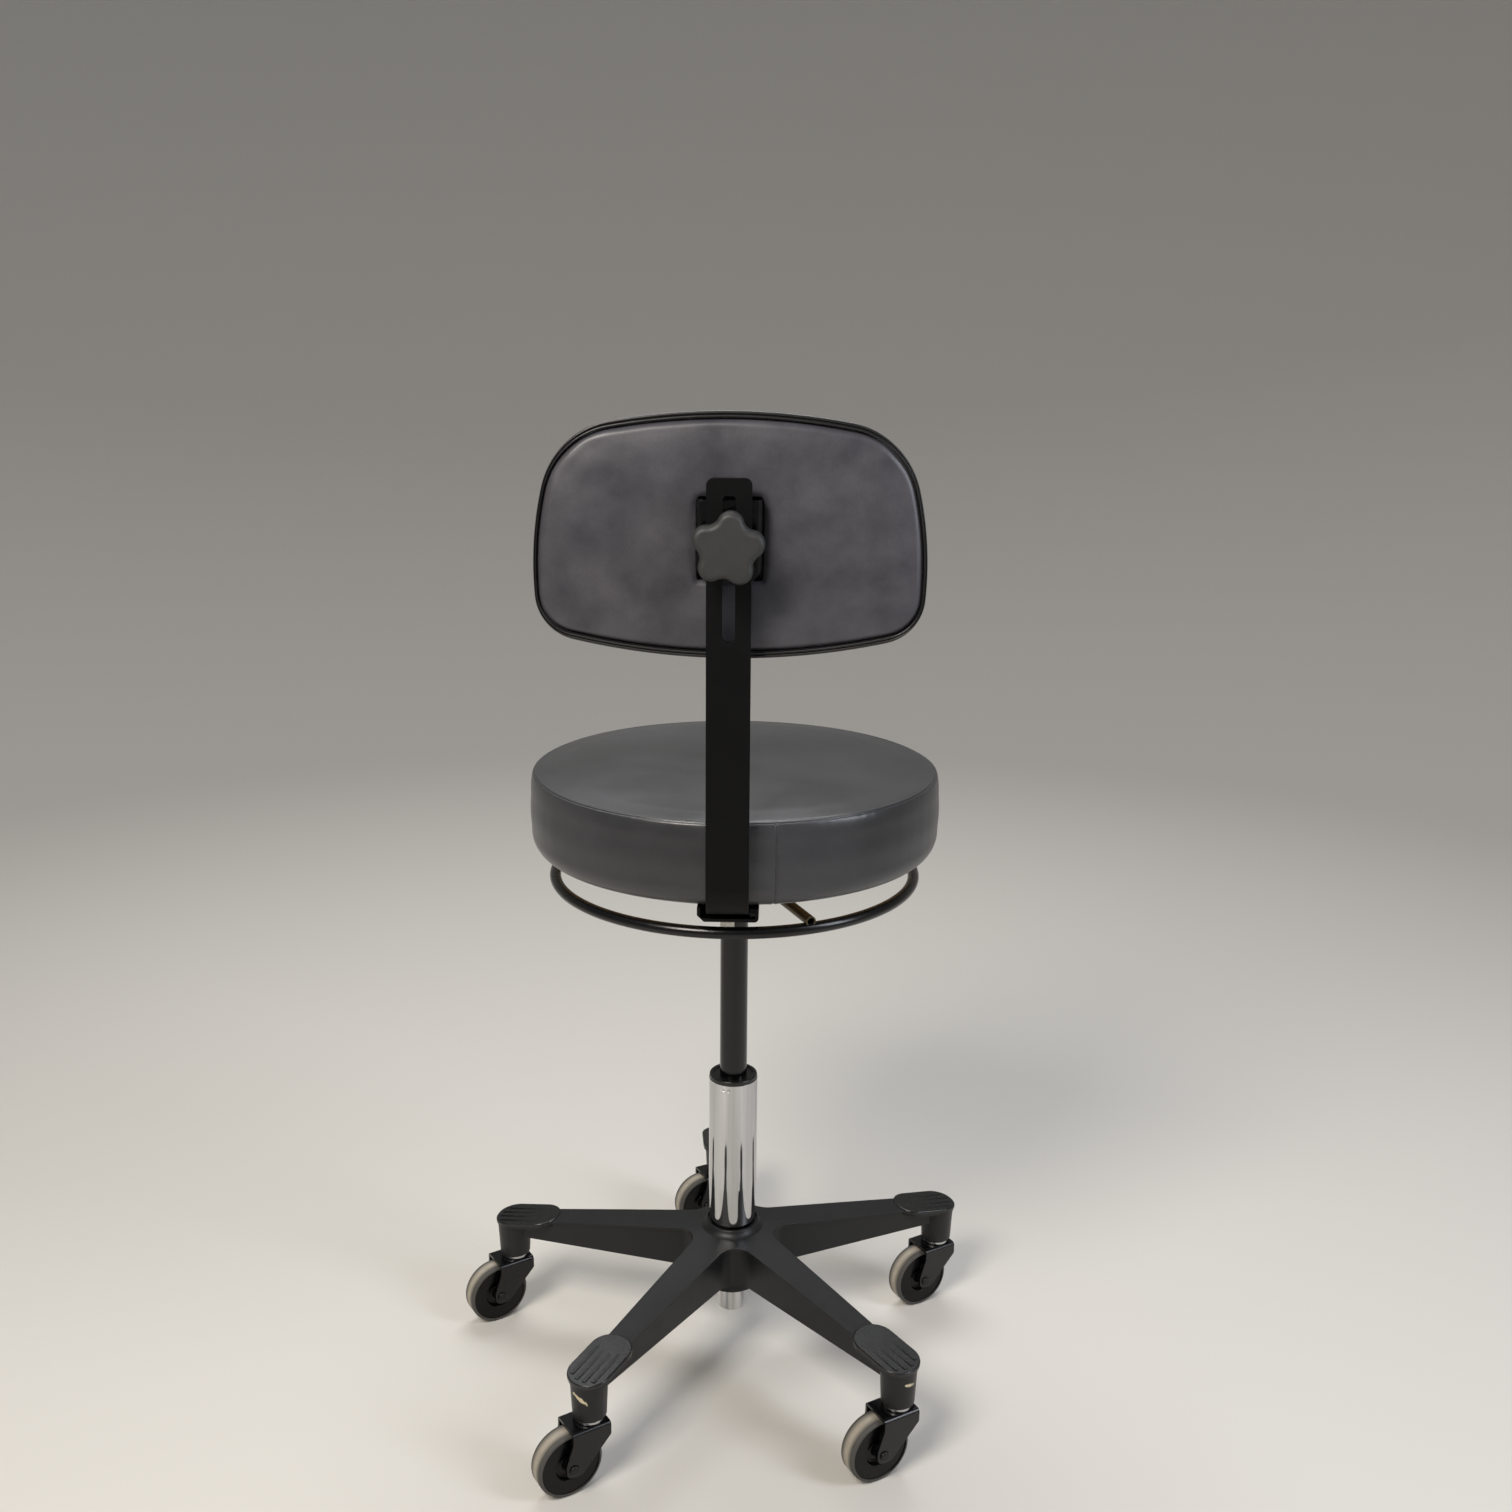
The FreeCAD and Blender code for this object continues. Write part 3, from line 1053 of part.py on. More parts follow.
def make_bar_channel():
    """A folded channel that holds the bar against the seat board."""
    body = new_body("bar_channel")
    section = new_sketch(body, "channel_section", "XZ_Plane", "-channel_end")
    outer = "channel_width / 2"
    inner = "(channel_width / 2 - channel_sheet)"
    draw_outline(section, [
        (f"-{outer}", CHANNEL_BOTTOM, "channel_sheet + 1"), (outer, CHANNEL_BOTTOM, "channel_sheet + 1"),
        (outer, "board_bottom"), (inner, "board_bottom"), (inner, CHANNEL_FLOOR, "1"),
        (f"-{inner}", CHANNEL_FLOOR, "1"), (f"-{inner}", "board_bottom"), (f"-{outer}", "board_bottom"),
    ])
    pad(body, "channel_fold", section, "channel_end - bar_start")
    raised = new_sketch(body, "channel_pad_plan", "XY_Plane", CHANNEL_FLOOR)
    recess = new_sketch(body, "channel_recess_plan", "XY_Plane", CHANNEL_BOTTOM)
    for index in range(2):
        draw_circle(raised, "0", bolt_place(index), "channel_pad_radius")
        draw_circle(recess, "0", bolt_place(index), "channel_pad_radius - channel_sheet")
    pad(body, "channel_pads", raised, "channel_room")
    pocket(body, "channel_recesses", recess, "channel_room", backwards=True)
    bevel = new_sketch(body, "channel_bevel_section", "XZ_Plane", "-channel_end - 1")
    draw_outline(bevel, [
        (f"{outer} + 1", f"{CHANNEL_BOTTOM} - 1"), (f"{outer} + 1", f"{CHANNEL_BOTTOM} + channel_bevel"),
        (f"{outer} - channel_bevel", f"{CHANNEL_BOTTOM} - 1"),
    ])
    pocket(body, "channel_bevel", bevel, "9", backwards=True)
    holes = new_sketch(body, "channel_hole_plan", "XY_Plane", f"{BOLT_SEAT} - 1")
    for index in range(2):
        draw_circle(holes, "0", bolt_place(index), "bolt_dia / 2 + fit_gap")
    pocket(body, "channel_holes", holes, "channel_sheet + 2 * cut_over", backwards=True)
    tapped = new_sketch(body, "channel_clamp_section", "YZ_Plane", "-channel_width / 2 - 1")
    draw_circle(tapped, CLAMP_Y, CLAMP_Z, "clamp_dia / 2 + fit_gap")
    pocket(body, "channel_clamp_hole", tapped, "channel_sheet + 2 * cut_over", backwards=True)
    return body


def make_bar_bolt(index):
    body = new_body(f"bar_bolt_{index + 1}")
    head = new_sketch(body, body.Name + "_head_plan", "XY_Plane", BOLT_SEAT)
    draw_outline(head, hexagon("bolt_head_across"))
    pad(body, body.Name + "_head", head, "bolt_head_height", backwards=True)
    shank = new_sketch(body, body.Name + "_shank_plan", "XY_Plane", BOLT_SEAT)
    draw_circle(shank, "0", "0", "bolt_dia / 2")
    pad(body, body.Name + "_shank", shank, f"{BOARD_TOP} - {BOLT_SEAT} - 0.5")
    return place(body, y=bolt_place(index))


def make_tee_nut(index):
    bore = "bolt_dia / 2 + fit_gap"
    under = f"({BOARD_TOP} - tee_flange_thick)"
    barrel_end = f"{BOARD_TOP} - tee_barrel_length"
    body = turned(f"tee_nut_{index + 1}", [
        (bore, barrel_end), ("tee_barrel_dia / 2", barrel_end),
        ("tee_barrel_dia / 2", under), ("tee_flange_dia / 2", under), ("tee_flange_dia / 2", BOARD_TOP),
        (bore, BOARD_TOP),
    ])
    return place(body, y=bolt_place(index))


def make_clamp_screw():
    """A grub screw in the channel's side that bears on the edge of the bar."""
    body = new_body("clamp_grub_screw")
    section = new_sketch(body, "clamp_section", "YZ_Plane", "-channel_width / 2")
    draw_circle(section, CLAMP_Y, CLAMP_Z, "clamp_dia / 2")
    pad(body, "clamp_shank", section, "(channel_width - bar_width) / 2 - fit_gap")
    return body


def make_clamp_nut():
    body = new_body("clamp_lock_nut")
    inner = "(channel_width / 2 - channel_sheet)"
    section = new_sketch(body, "clamp_nut_section", "YZ_Plane", f"-{inner} + fit_gap")
    draw_outline(section, hexagon("clamp_nut_across", CLAMP_Y, CLAMP_Z))
    draw_circle(section, CLAMP_Y, CLAMP_Z, "clamp_dia / 2 + fit_gap")
    pad(body, "clamp_nut_block", section, "clamp_nut_thick")
    return body


# ---------------------------------------------------------------------------------------------
# Backrest
# ---------------------------------------------------------------------------------------------
def circle_meet(first, first_radius, second, second_radius, upper):
    """Where two circles cross on the outer side: the centre of a corner tangent to both."""
    apart = second - first
    along = (apart.Length ** 2 + first_radius ** 2 - second_radius ** 2) / (2 * apart.Length)
    across = math.sqrt(max(first_radius ** 2 - along ** 2, 0))
    axis = Vector(apart).normalize()
    side = Vector(-axis.y, axis.x, 0) * (1 if upper else -1)
    return first + axis * along + side * across


def draw_back_outline(sketch, side_inset, end_inset):
    """Backrest outline: bowed top, sides and bottom, joined by four tangent corners."""
    top_radius = f"(back_top_bow - ({end_inset}))"
    low_radius = f"(back_bottom_bow - ({end_inset}))"
    side_radius = f"(back_side_bow - ({side_inset}))"
    top_centre = "(back_top - back_top_bow)"
    low_centre = "(back_bottom + back_bottom_bow)"
    side_centre = "(back_half_width - back_side_bow)"
    high = f"(back_top_corner - ({end_inset}))"
    low = f"(back_bottom_corner - ({end_inset}))"
    centres = {
        "top": Vector(0, size(top_centre), 0),
        "right": Vector(size(side_centre), size("back_waist"), 0),
        "bottom": Vector(0, size(low_centre), 0),
        "left": Vector(-size(side_centre), size("back_waist"), 0),
    }
    radii = {"top": top_radius, "right": side_radius, "bottom": low_radius, "left": side_radius}
    order = ["right", "top", "left", "bottom"]
    corner_radius = [high, high, low, low]
    corner_centre = []
    for index, name in enumerate(order):
        following = order[(index + 1) % 4]
        corner = size(corner_radius[index])
        options = [
            circle_meet(centres[name], size(radii[name]) - corner, centres[following],
                        size(radii[following]) - corner, upper) for upper in (True, False)
        ]
        across = 1 if index in (0, 3) else -1
        up = 1 if index in (0, 1) else -1
        corner_centre.append(max(options, key=lambda point: point.x * across + point.y * up))
    # the eight arcs run anticlockwise: side, corner, top, corner, side, corner, bottom, corner
    arcs = []
    for index, name in enumerate(order):
        before, after = corner_centre[index - 1], corner_centre[index]
        own, following = centres[name], centres[order[(index + 1) % 4]]
        circle = Part.Circle(own, Vector(0, 0, 1), size(radii[name]))
        arcs.append(Part.ArcOfCircle(circle, heading(before - own), heading(after - own)))
        circle = Part.Circle(after, Vector(0, 0, 1), size(corner_radius[index]))
        arcs.append(Part.ArcOfCircle(circle, heading(after - own), heading(after - following)))
    indices = [sketch.addGeometry(arc, False) for arc in arcs]
    rules = []
    for place_index, arc in enumerate(indices):
        following = indices[(place_index + 1) % 8]
        rules.append((Sketcher.Constraint("Tangent", arc, 2, following, 1), None))
    for index, name in enumerate(order):
        arc = indices[2 * index]
        rules.append((Sketcher.Constraint("Radius", arc, size(radii[name])), radii[name]))
        corner = indices[2 * index + 1]
        radius = corner_radius[index]
        rules.append((Sketcher.Constraint("Radius", corner, size(radius)), radius))
    rules += pin_point(indices[0], 3, side_centre, "back_waist")
    rules += pin_point(indices[2], 3, "0", top_centre)
    rules += pin_point(indices[4], 3, f"-{side_centre}", "back_waist")
    rules += pin_point(indices[6], 3, "0", low_centre)
    constrain(sketch, rules)


def back_panel(label, side_inset, end_inset, rear, thick):
    """A body with one slab in the backrest's outline, from its rear face forwards."""
    body = new_body(label)
    face = new_sketch(body, label + "_outline", "XZ_Plane", f"-({rear})")
    draw_back_outline(face, side_inset, end_inset)
    slab = pad(body, label + "_slab", face, thick)
    return body, slab


def bracket_bolt_points():
    offset = "(bracket_width / 2 - bracket_sheet - bracket_foot / 2)"
    middle_height = "((bracket_top + bracket_bottom) / 2)"
    return [
        (f"{x} * {offset}", f"{middle_height} + {z} * bracket_bolt_pitch / 2")
        for x in (-1, 1) for z in (-1, 1)
    ]


def make_back_board():
    body, slab = back_panel(
        "back_board", "trim_side + back_board_inset", "trim_end + back_board_inset",
        BOARD_REAR, "back_board_thick")
    holes = new_sketch(body, "back_board_holes_face", "XZ_Plane", f"-({BOARD_REAR}) - 1")
    heads = new_sketch(body, "back_board_heads_face", "XZ_Plane", f"-({BOARD_FRONT})")
    for x, z in bracket_bolt_points():
        draw_circle(holes, x, z, "bracket_bolt_dia / 2 + fit_gap")
        draw_circle(heads, x, z, "bracket_bolt_head_dia / 2 + fit_gap")
    pocket(body, "back_board_holes", holes, "back_board_thick + 2 * cut_over", backwards=True)
    pocket(body, "back_board_counterbores", heads, "bracket_bolt_head_height + fit_gap")
    return body


def make_rear_pad():
    body, slab = back_panel(
        "rear_pad", "trim_side + soft_gap", "trim_end + soft_gap", "rear_face", "rear_pad_thick")
    rear = size("rear_face")
    round_edges(body, "rear_pad_edge", slab, lambda edge: middle(edge).y > rear - 0.01, "rear_pad_round")
    window = new_sketch(body, "rear_pad_window_face", "XZ_Plane", "-rear_face - 1")
    half = "(bracket_width / 2 + soft_gap)"
    draw_outline(window, rectangle(
        f"-{half}", half, "bracket_bottom - soft_gap", "bracket_top + soft_gap", "0.5"))
    pocket(body, "rear_pad_window", window, "rear_pad_thick + 2 * cut_over", backwards=True)
    return body


def make_front_cushion():
    body, slab = back_panel(
        "front_cushion", "front_pad_inset", "front_pad_inset", f"{BOARD_FRONT} - soft_gap", "front_pad_thick")
    front = size(f"{BOARD_FRONT} - soft_gap - front_pad_thick")
    round_edges(body, "front_cushion_edge", slab,
                lambda edge: middle(edge).y < front + 0.01, "front_pad_round")
    return body


def make_edge_trim():
    """The band round the edge of the board and the rear panel."""
    body = new_body("edge_trim")
    face = new_sketch(body, "trim_face", "XZ_Plane", f"-({BOARD_FRONT} + trim_depth)")
    draw_back_outline(face, "0", "0")
    draw_back_outline(face, "trim_side", "trim_end")
    pad(body, "trim_band", face, "trim_depth")
    return body


def make_back_bracket():
    """A folded channel on the back board whose web lies on the bar."""
    body = new_body("back_bracket")
    plan = new_sketch(body, "bracket_plan", "XY_Plane", "bracket_bottom")
    outer = "(bracket_width / 2)"
    inner = "(bracket_width / 2 - bracket_sheet)"
    toe = "(bracket_width / 2 - bracket_sheet - bracket_foot)"
    foot_top = f"({BOARD_REAR} + bracket_sheet)"
    inside = "bracket_bend - bracket_sheet"
    draw_outline(plan, [
        (f"-{outer}", BOARD_REAR, "bracket_bend"), (f"-{toe}", BOARD_REAR), (f"-{toe}", foot_top),
        (f"-{inner}", foot_top, inside), (f"-{inner}", BRACKET_WEB, inside), (inner, BRACKET_WEB, inside),
        (inner, foot_top, inside), (toe, foot_top), (toe, BOARD_REAR), (outer, BOARD_REAR, "bracket_bend"),
        (outer, BRACKET_FACE, "bracket_bend"), (f"-{outer}", BRACKET_FACE, "bracket_bend"),
    ])
    pad(body, "bracket_fold_strip", plan, "bracket_top - bracket_bottom")
    bevels = new_sketch(body, "bracket_bevels_face", "XZ_Plane", f"-({BRACKET_FACE}) - 1")
    for side in ("-", ""):
        draw_outline(bevels, [
            (f"{side}({outer} + 1)", "bracket_bottom - 1"),
            (f"{side}({outer} + 1)", "bracket_bottom + bracket_bevel + 1"),
            (f"{side}({outer} - bracket_bevel - 1)", "bracket_bottom - 1"),
        ])
    pocket(body, "bracket_bevels", bevels, f"{BRACKET_FACE} - ({BOARD_REAR}) + 3", backwards=True)
    square = new_sketch(body, "bracket_square_face", "XZ_Plane", f"-({BRACKET_FACE}) - 1")
    half = "(stud_dia / 2 + fit_gap)"
    draw_outline(square, rectangle(f"-{half}", half, f"stud_height - {half}", f"stud_height + {half}"))
    pocket(body, "bracket_square_hole", square, "bracket_sheet + 2 * cut_over", backwards=True)
    tapped = new_sketch(body, "bracket_tapped_face", "XZ_Plane", f"-({BOARD_REAR}) - bracket_sheet - 1")
    for x, z in bracket_bolt_points():
        draw_circle(tapped, x, z, "bracket_bolt_dia / 2 + fit_gap")
    pocket(body, "bracket_tapped_holes", tapped, "bracket_sheet + 2 * cut_over", backwards=True)
    return body


def along_y(label, corners, height):
    """A piece turned about a line along Y at the given height; corners are (radius, y)."""
    body = new_body(label)
    revolve(body, label + "_turning", corners, role="XY_Plane")
    return place(body, z=height)


def make_bracket_bolt(index, point):
    shank = "bracket_bolt_dia / 2"
    head = "bracket_bolt_head_dia / 2"
    under = f"({BOARD_FRONT} + bracket_bolt_head_height)"
    body = along_y(f"bracket_bolt_{index + 1}", [
        ("0", BOARD_FRONT), (head, BOARD_FRONT, "1"), (head, under), (shank, under),
        (shank, f"{BOARD_REAR} + bracket_sheet + 2"), ("0", f"{BOARD_REAR} + bracket_sheet + 2"),
    ], point[1])
    return place(body, x=point[0], z=point[1])


def make_clamp_stud():
    """A carriage bolt: round head and square neck held by the bracket, thread out to the knob."""
    head = "stud_head_dia / 2"
    under = f"({BRACKET_WEB} - fit_gap)"
    body = along_y("clamp_stud", [
        ("0", f"{under} - stud_head_height"), (head, f"{under} - stud_head_height", "2.5"), (head, under),
        ("stud_dia / 2", under), ("stud_dia / 2", "stud_end - 1"), ("stud_dia / 2 - 1", "stud_end"),
        ("0", "stud_end"),
    ], "stud_height")
    neck = new_sketch(body, "stud_neck_face", "XZ_Plane", f"-({BAR_FACE}) - 1")
    half = "stud_dia / 2"
    draw_outline(neck, rectangle(f"-{half}", half, f"-{half}", half))
    pad(body, "stud_neck", neck, "bracket_sheet + 1.5")
    return body


def make_clamp_washer():
    bore = "stud_dia / 2 + run_gap"
    front = "(bar_reach + bracket_gap)"
    return along_y("clamp_washer", [
        (bore, front), ("washer_dia / 2", front), ("washer_dia / 2", WASHER_REAR, "0.6"), (bore, WASHER_REAR),
    ], "stud_height")


def make_knob():
    """A five-lobed hand knob: lobes and hollows are arcs that run into each other."""
    body = new_body("clamp_knob")
    face = new_sketch(body, "knob_lobes_face", "XZ_Plane", "-(knob_start + knob_thick)")
    count = int(size("knob_lobes"))
    lobe, valley = size("knob_lobe_radius"), size("knob_valley_radius")
    reach = size("knob_lobe_centre")
    half_step = math.pi / count
    # the hollow's centre lies on the line half way between two lobes, touching both
    valley_reach = reach * math.cos(half_step) + math.sqrt(
        (lobe + valley) ** 2 - (reach * math.sin(half_step)) ** 2)
    lobes, valleys, rules = [], [], []
    for index in range(count):
        turn = f"(90 + knob_turn + {index} * 360 / knob_lobes)"
        angle = math.radians(size(turn))
        own = Vector(math.cos(angle), math.sin(angle), 0) * reach
        left = Vector(math.cos(angle + half_step), math.sin(angle + half_step), 0) * valley_reach
        right = Vector(math.cos(angle - half_step), math.sin(angle - half_step), 0) * valley_reach
        circle = Part.Circle(own, Vector(0, 0, 1), lobe)
        lobe_arc = Part.ArcOfCircle(circle, heading(right - own), heading(left - own))
        lobes.append(face.addGeometry(lobe_arc, False))
        following = Vector(math.cos(angle + 2 * half_step), math.sin(angle + 2 * half_step), 0) * reach
        circle = Part.Circle(left, Vector(0, 0, 1), valley)
        valleys.append(face.addGeometry(
            Part.ArcOfCircle(circle, heading(following - left), heading(own - left)), False))
        rules.append((Sketcher.Constraint("Radius", lobes[-1], lobe), "knob_lobe_radius"))
        rules.append((Sketcher.Constraint("Radius", valleys[-1], valley), "knob_valley_radius"))
        rules += pin_point(lobes[-1], 3, f"knob_lobe_centre * cos({turn})", f"knob_lobe_centre * sin({turn})")
    for index in range(count):
        rules.append((Sketcher.Constraint("Tangent", lobes[index], 2, valleys[index], 2), None))
        rules.append((Sketcher.Constraint("Tangent", lobes[(index + 1) % count], 1, valleys[index], 1), None))
    constrain(face, rules)
    head = pad(body, "knob_head", face, "knob_thick")
    rear = size("knob_start + knob_thick")
    rounded = round_edges(body, "knob_edge", head, lambda edge: middle(edge).y > rear - 0.01, "knob_round")
    front = size("knob_start")
    round_edges(body, "knob_inner_edge", rounded,
                lambda edge: middle(edge).y < front + 0.01, "knob_inner_round")
    revolve(body, "knob_stem", [
        ("0", f"{WASHER_REAR} + run_gap"), ("knob_stem_dia / 2", f"{WASHER_REAR} + run_gap"),
        ("knob_stem_dia / 2 + 1", "knob_start + 1"), ("0", "knob_start + 1"),
    ], role="XY_Plane")
    seat = new_sketch(body, "knob_insert_face", "XZ_Plane", f"-({WASHER_REAR})")
    draw_circle(seat, "0", "0", "insert_dia / 2 + fit_gap")
    pocket(body, "knob_insert_seat", seat, f"insert_end - {WASHER_REAR} + 1", backwards=False)
    return place(body, z="stud_height")


def make_knob_insert():
    """The threaded insert, moulded into the knob."""
    bore = "stud_dia / 2 + run_gap"
    start = f"({WASHER_REAR} + run_gap)"
    return along_y("knob_insert", [
        (bore, start), ("insert_dia / 2", start), ("insert_dia / 2", "insert_end"), (bore, "insert_end"),
    ], "stud_height")


# ---------------------------------------------------------------------------------------------
# Castors
# ---------------------------------------------------------------------------------------------
# which way each wheel trails, from +X, in the order of the arms
CASTOR_TURNS = ["28.5", "34.5", "33.5", "30.5", "31.5"]


def at_axle(item, index):
    """Moves a piece drawn round the Y axis to the axle of castor number index."""
    arm, trail = arm_turn(index), CASTOR_TURNS[index % len(CASTOR_TURNS)]
    x = f"pivot_radius * cos({arm}) + wheel_trail * cos({trail})"
    y = f"pivot_radius * sin({arm}) + wheel_trail * sin({trail})"
    return place(item, x, y, AXLE_HEIGHT, turn=trail)


def make_stem(index):
    radius = "stem_dia / 2"
    rivet = "(fork_top - fork_sheet - run_gap)"
    body = turned(f"castor_stem_{index + 1}", [
        ("0", f"{rivet} - stem_rivet_height"), ("stem_rivet_radius", f"{rivet} - stem_rivet_height", "1.2"),
        ("stem_rivet_radius", rivet), (radius, rivet), (radius, "stem_top - 1.5"),
        (f"{radius} - 1.5", "stem_top"), ("0", "stem_top"),
    ])
    return at_castor(body, index)


def make_race(index):
    low = "(fork_top + race_lift)"
    roof = "(fork_top + race_ball_dia + 0.15)"
    inner = "race_groove_radius - race_ball_dia / 2 - 0.15"
    outer = "race_groove_radius + race_ball_dia / 2 + 0.15"
    body = turned(f"castor_race_{index + 1}", [
        ("stem_dia / 2 + fit_gap", low), (inner, low), (inner, roof), (outer, roof), (outer, low),
        ("race_dia / 2", low, "1"), ("race_dia / 2", "socket_bottom - 1.6"),
        ("race_dia / 2 - 2", "socket_bottom - 0.05"), ("stem_dia / 2 + fit_gap", "socket_bottom - 0.05"),
    ])
    return at_castor(body, index)


def make_race_ball(index, ball):
    sphere = doc.addObject("Part::Sphere", f"race_ball_{index + 1}_{ball + 1}")
    bind(sphere, "Radius", "race_ball_dia / 2")
    arm = arm_turn(index)
    turn = f"({ball} * 360 / race_ball_count)"
    x = f"pivot_radius * cos({arm}) + race_groove_radius * cos({turn})"
    y = f"pivot_radius * sin({arm}) + race_groove_radius * sin({turn})"
    return place(sphere, x, y, "fork_top + race_ball_dia / 2 + fit_gap")


def make_fork(index):
    """A fork pressed from one sheet: top plate and two legs that narrow to the axle."""
    body = new_body(f"castor_fork_{index + 1}")
    name = body.Name
    side = new_sketch(body, name + "_side", "XZ_Plane")
    eye = "fork_eye_radius"
    draw_outline(side, [
        ("-fork_front", "fork_top - fork_apron", "3"),
        (f"wheel_trail - {eye}", f"wheel_radius - {eye}", f"{eye} * 0.8"),
        (f"wheel_trail + {eye}", f"wheel_radius - {eye}", f"{eye} * 0.9"),
        (f"wheel_trail + {eye}", "wheel_radius + 6", "12"),
        ("fork_back", "fork_top - fork_apron + 2", "8"),
        ("fork_back", "fork_top"), ("-fork_front", "fork_top"),
    ])
    block = pad(body, name + "_block", side, "fork_width", symmetric=True)
    top, half = size("fork_top"), size("fork_width / 2")
    bend = round_edges(
        body, name + "_bend", block,
        lambda edge: abs(middle(edge).z - top) < 0.01 and abs(abs(middle(edge).y) - half) < 0.01, "fork_bend")
    inside = new_sketch(body, name + "_inside", "XZ_Plane")
    draw_outline(inside, rectangle(
        "-fork_front - 10", "wheel_trail + fork_eye_radius + 10", "-5", "fork_top - fork_sheet"))
    pocket(body, name + "_gap", inside, "fork_width - 2 * fork_sheet", symmetric=True)
    stem = new_sketch(body, name + "_stem_plan", "XY_Plane", "fork_top - fork_sheet - 1")
    draw_circle(stem, "0", "0", "stem_dia / 2 + run_gap")
    pocket(body, name + "_stem_hole", stem, "fork_sheet + 2 * cut_over", backwards=True)
    axle = new_sketch(body, name + "_axle_section", "XZ_Plane")
    draw_circle(axle, "wheel_trail", AXLE_HEIGHT, "axle_dia / 2 + fit_gap")
    pocket(body, name + "_axle_hole", axle, "fork_width + 2 * cut_over", symmetric=True)
    arm = arm_turn(index)
    return place(body, f"pivot_radius * cos({arm})", f"pivot_radius * sin({arm})",
                 turn=CASTOR_TURNS[index % len(CASTOR_TURNS)])


def make_axle(index):
    """A rivet with a formed head outside each leg."""
    body = new_body(f"castor_axle_{index + 1}")
    half = "(fork_width / 2 + fit_gap)"
    end = f"({half} + axle_head_height)"
    head = "axle_head_dia / 2"
    revolve(body, body.Name + "_turning", [
        ("0", f"-{end}"), (head, f"-{end}", "1.6"), (head, f"-{half}"), ("axle_dia / 2", f"-{half}"),
        ("axle_dia / 2", half), (head, half), (head, end, "1.6"), ("0", end),
    ], role="XY_Plane")
    return at_axle(body, index)


def make_wheel_core(index):
    body = new_body(f"wheel_core_{index + 1}")
    rim = "(wheel_radius - tread_depth - fit_gap)"
    hub = "(fork_width / 2 - fork_sheet - 0.3)"
    side = "rim_width / 2"
    web = "web_width / 2"
    bore = "axle_dia / 2 + run_gap"
    revolve(body, body.Name + "_turning", [
        (bore, f"-{hub}"), ("boss_radius", f"-{hub}", "0.8"), ("boss_radius", f"-{web}", "1.5"),
        ("rim_inner_radius - 1", f"-{web}", "1.5"), ("rim_inner_radius", f"-{side}", "1"),
        (rim, f"-{side}"), (rim, side), ("rim_inner_radius", side, "1"),
        ("rim_inner_radius - 1", web, "1.5"), ("boss_radius", web, "1.5"), ("boss_radius", hub, "0.8"),
        (bore, hub),
    ], role="XY_Plane")
    return at_axle(body, index)


def make_wheel_tread(index):
    body = new_body(f"wheel_tread_{index + 1}")
    inner = "(wheel_radius - tread_depth)"
    half = "wheel_width / 2"
    revolve(body, body.Name + "_turning", [
        (inner, f"-{half}"), ("wheel_radius", f"-{half}", "tread_round"),
        ("wheel_radius", half, "tread_round"),
        (inner, half),
    ], role="XY_Plane")
    return at_axle(body, index)


# ---------------------------------------------------------------------------------------------
# Build every piece, check it and write it
# ---------------------------------------------------------------------------------------------
pieces = [
    make_star_base(),
    group("toe_caps", [make_toe_cap(index) for index in ARMS]),
    make_column_tube(),
    make_guide_bush(),
    make_retaining_clip(),
    make_thrust_bearing(),
    make_bump_stop(),
    make_piston_rod(),
    make_gas_cylinder(),
    make_valve_button(),
    make_seat_plate(),
    group("seat_screws", [make_seat_screw(index, side) for index, side in enumerate(SCREW_SIDES)]),
    make_seat_board(),
    make_seat_cushion(),
    make_release_ring(),
    group("ring_spokes", [make_spoke(index) for index in range(int(size("spoke_count")))]),
    make_ring_hub(),
    make_tilt_bracket(),
    make_tilt_pin(),
    make_release_lever(),
    make_back_bar(),
    make_bar_channel(),
    group("bar_bolts", [make_bar_bolt(index) for index in range(2)]),
    group("tee_nuts", [make_tee_nut(index) for index in range(2)]),
    make_clamp_screw(),
    make_clamp_nut(),
    make_back_board(),
    make_rear_pad(),
    make_front_cushion(),
    make_edge_trim(),
    make_back_bracket(),
    group("bracket_bolts", [make_bracket_bolt(i, point) for i, point in enumerate(bracket_bolt_points())]),
    make_clamp_stud(),
    make_clamp_washer(),
    make_knob(),
    make_knob_insert(),
    group("castor_stems", [make_stem(index) for index in ARMS]),
    group("castor_races", [make_race(index) for index in ARMS]),
    group("race_balls", [
        make_race_ball(index, ball) for index in ARMS for ball in range(int(size("race_ball_count")))
    ]),
]
for castor in ARMS:
    pieces += [make_fork(castor), make_axle(castor), make_wheel_core(castor), make_wheel_tread(castor)]

doc.recompute()
for item in doc.Objects:
    assert "Invalid" not in item.State and "Error" not in item.State, f"{item.Name} failed: {item.State}"
for piece in pieces:
    assert not piece.Shape.isNull() and piece.Shape.isValid(), f"{piece.Label} has no sound shape"

os.makedirs("parts", exist_ok=True)
for piece in pieces:
    piece.Shape.exportStep(f"parts/{piece.Label}.step")
    print(f"{piece.Label}: {len(piece.Shape.Solids)} solids, {piece.Shape.Volume / 1000:.2f} cm3")
print(f"{len(pieces)} nodes written")
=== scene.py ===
# %% [markdown]
# # The drafting chair
# A round padded seat on a gas column, with a small backrest on a flat steel bar and five castors below.
# The metal and plastic parts come in finished from the CAD model. This script gives them their finishes,
# and makes the soft pieces again: seat cushion, rear panel, front cushion and the double welt between them.

import json
import math

import bpy
import numpy as np
from mathutils import Matrix, Vector

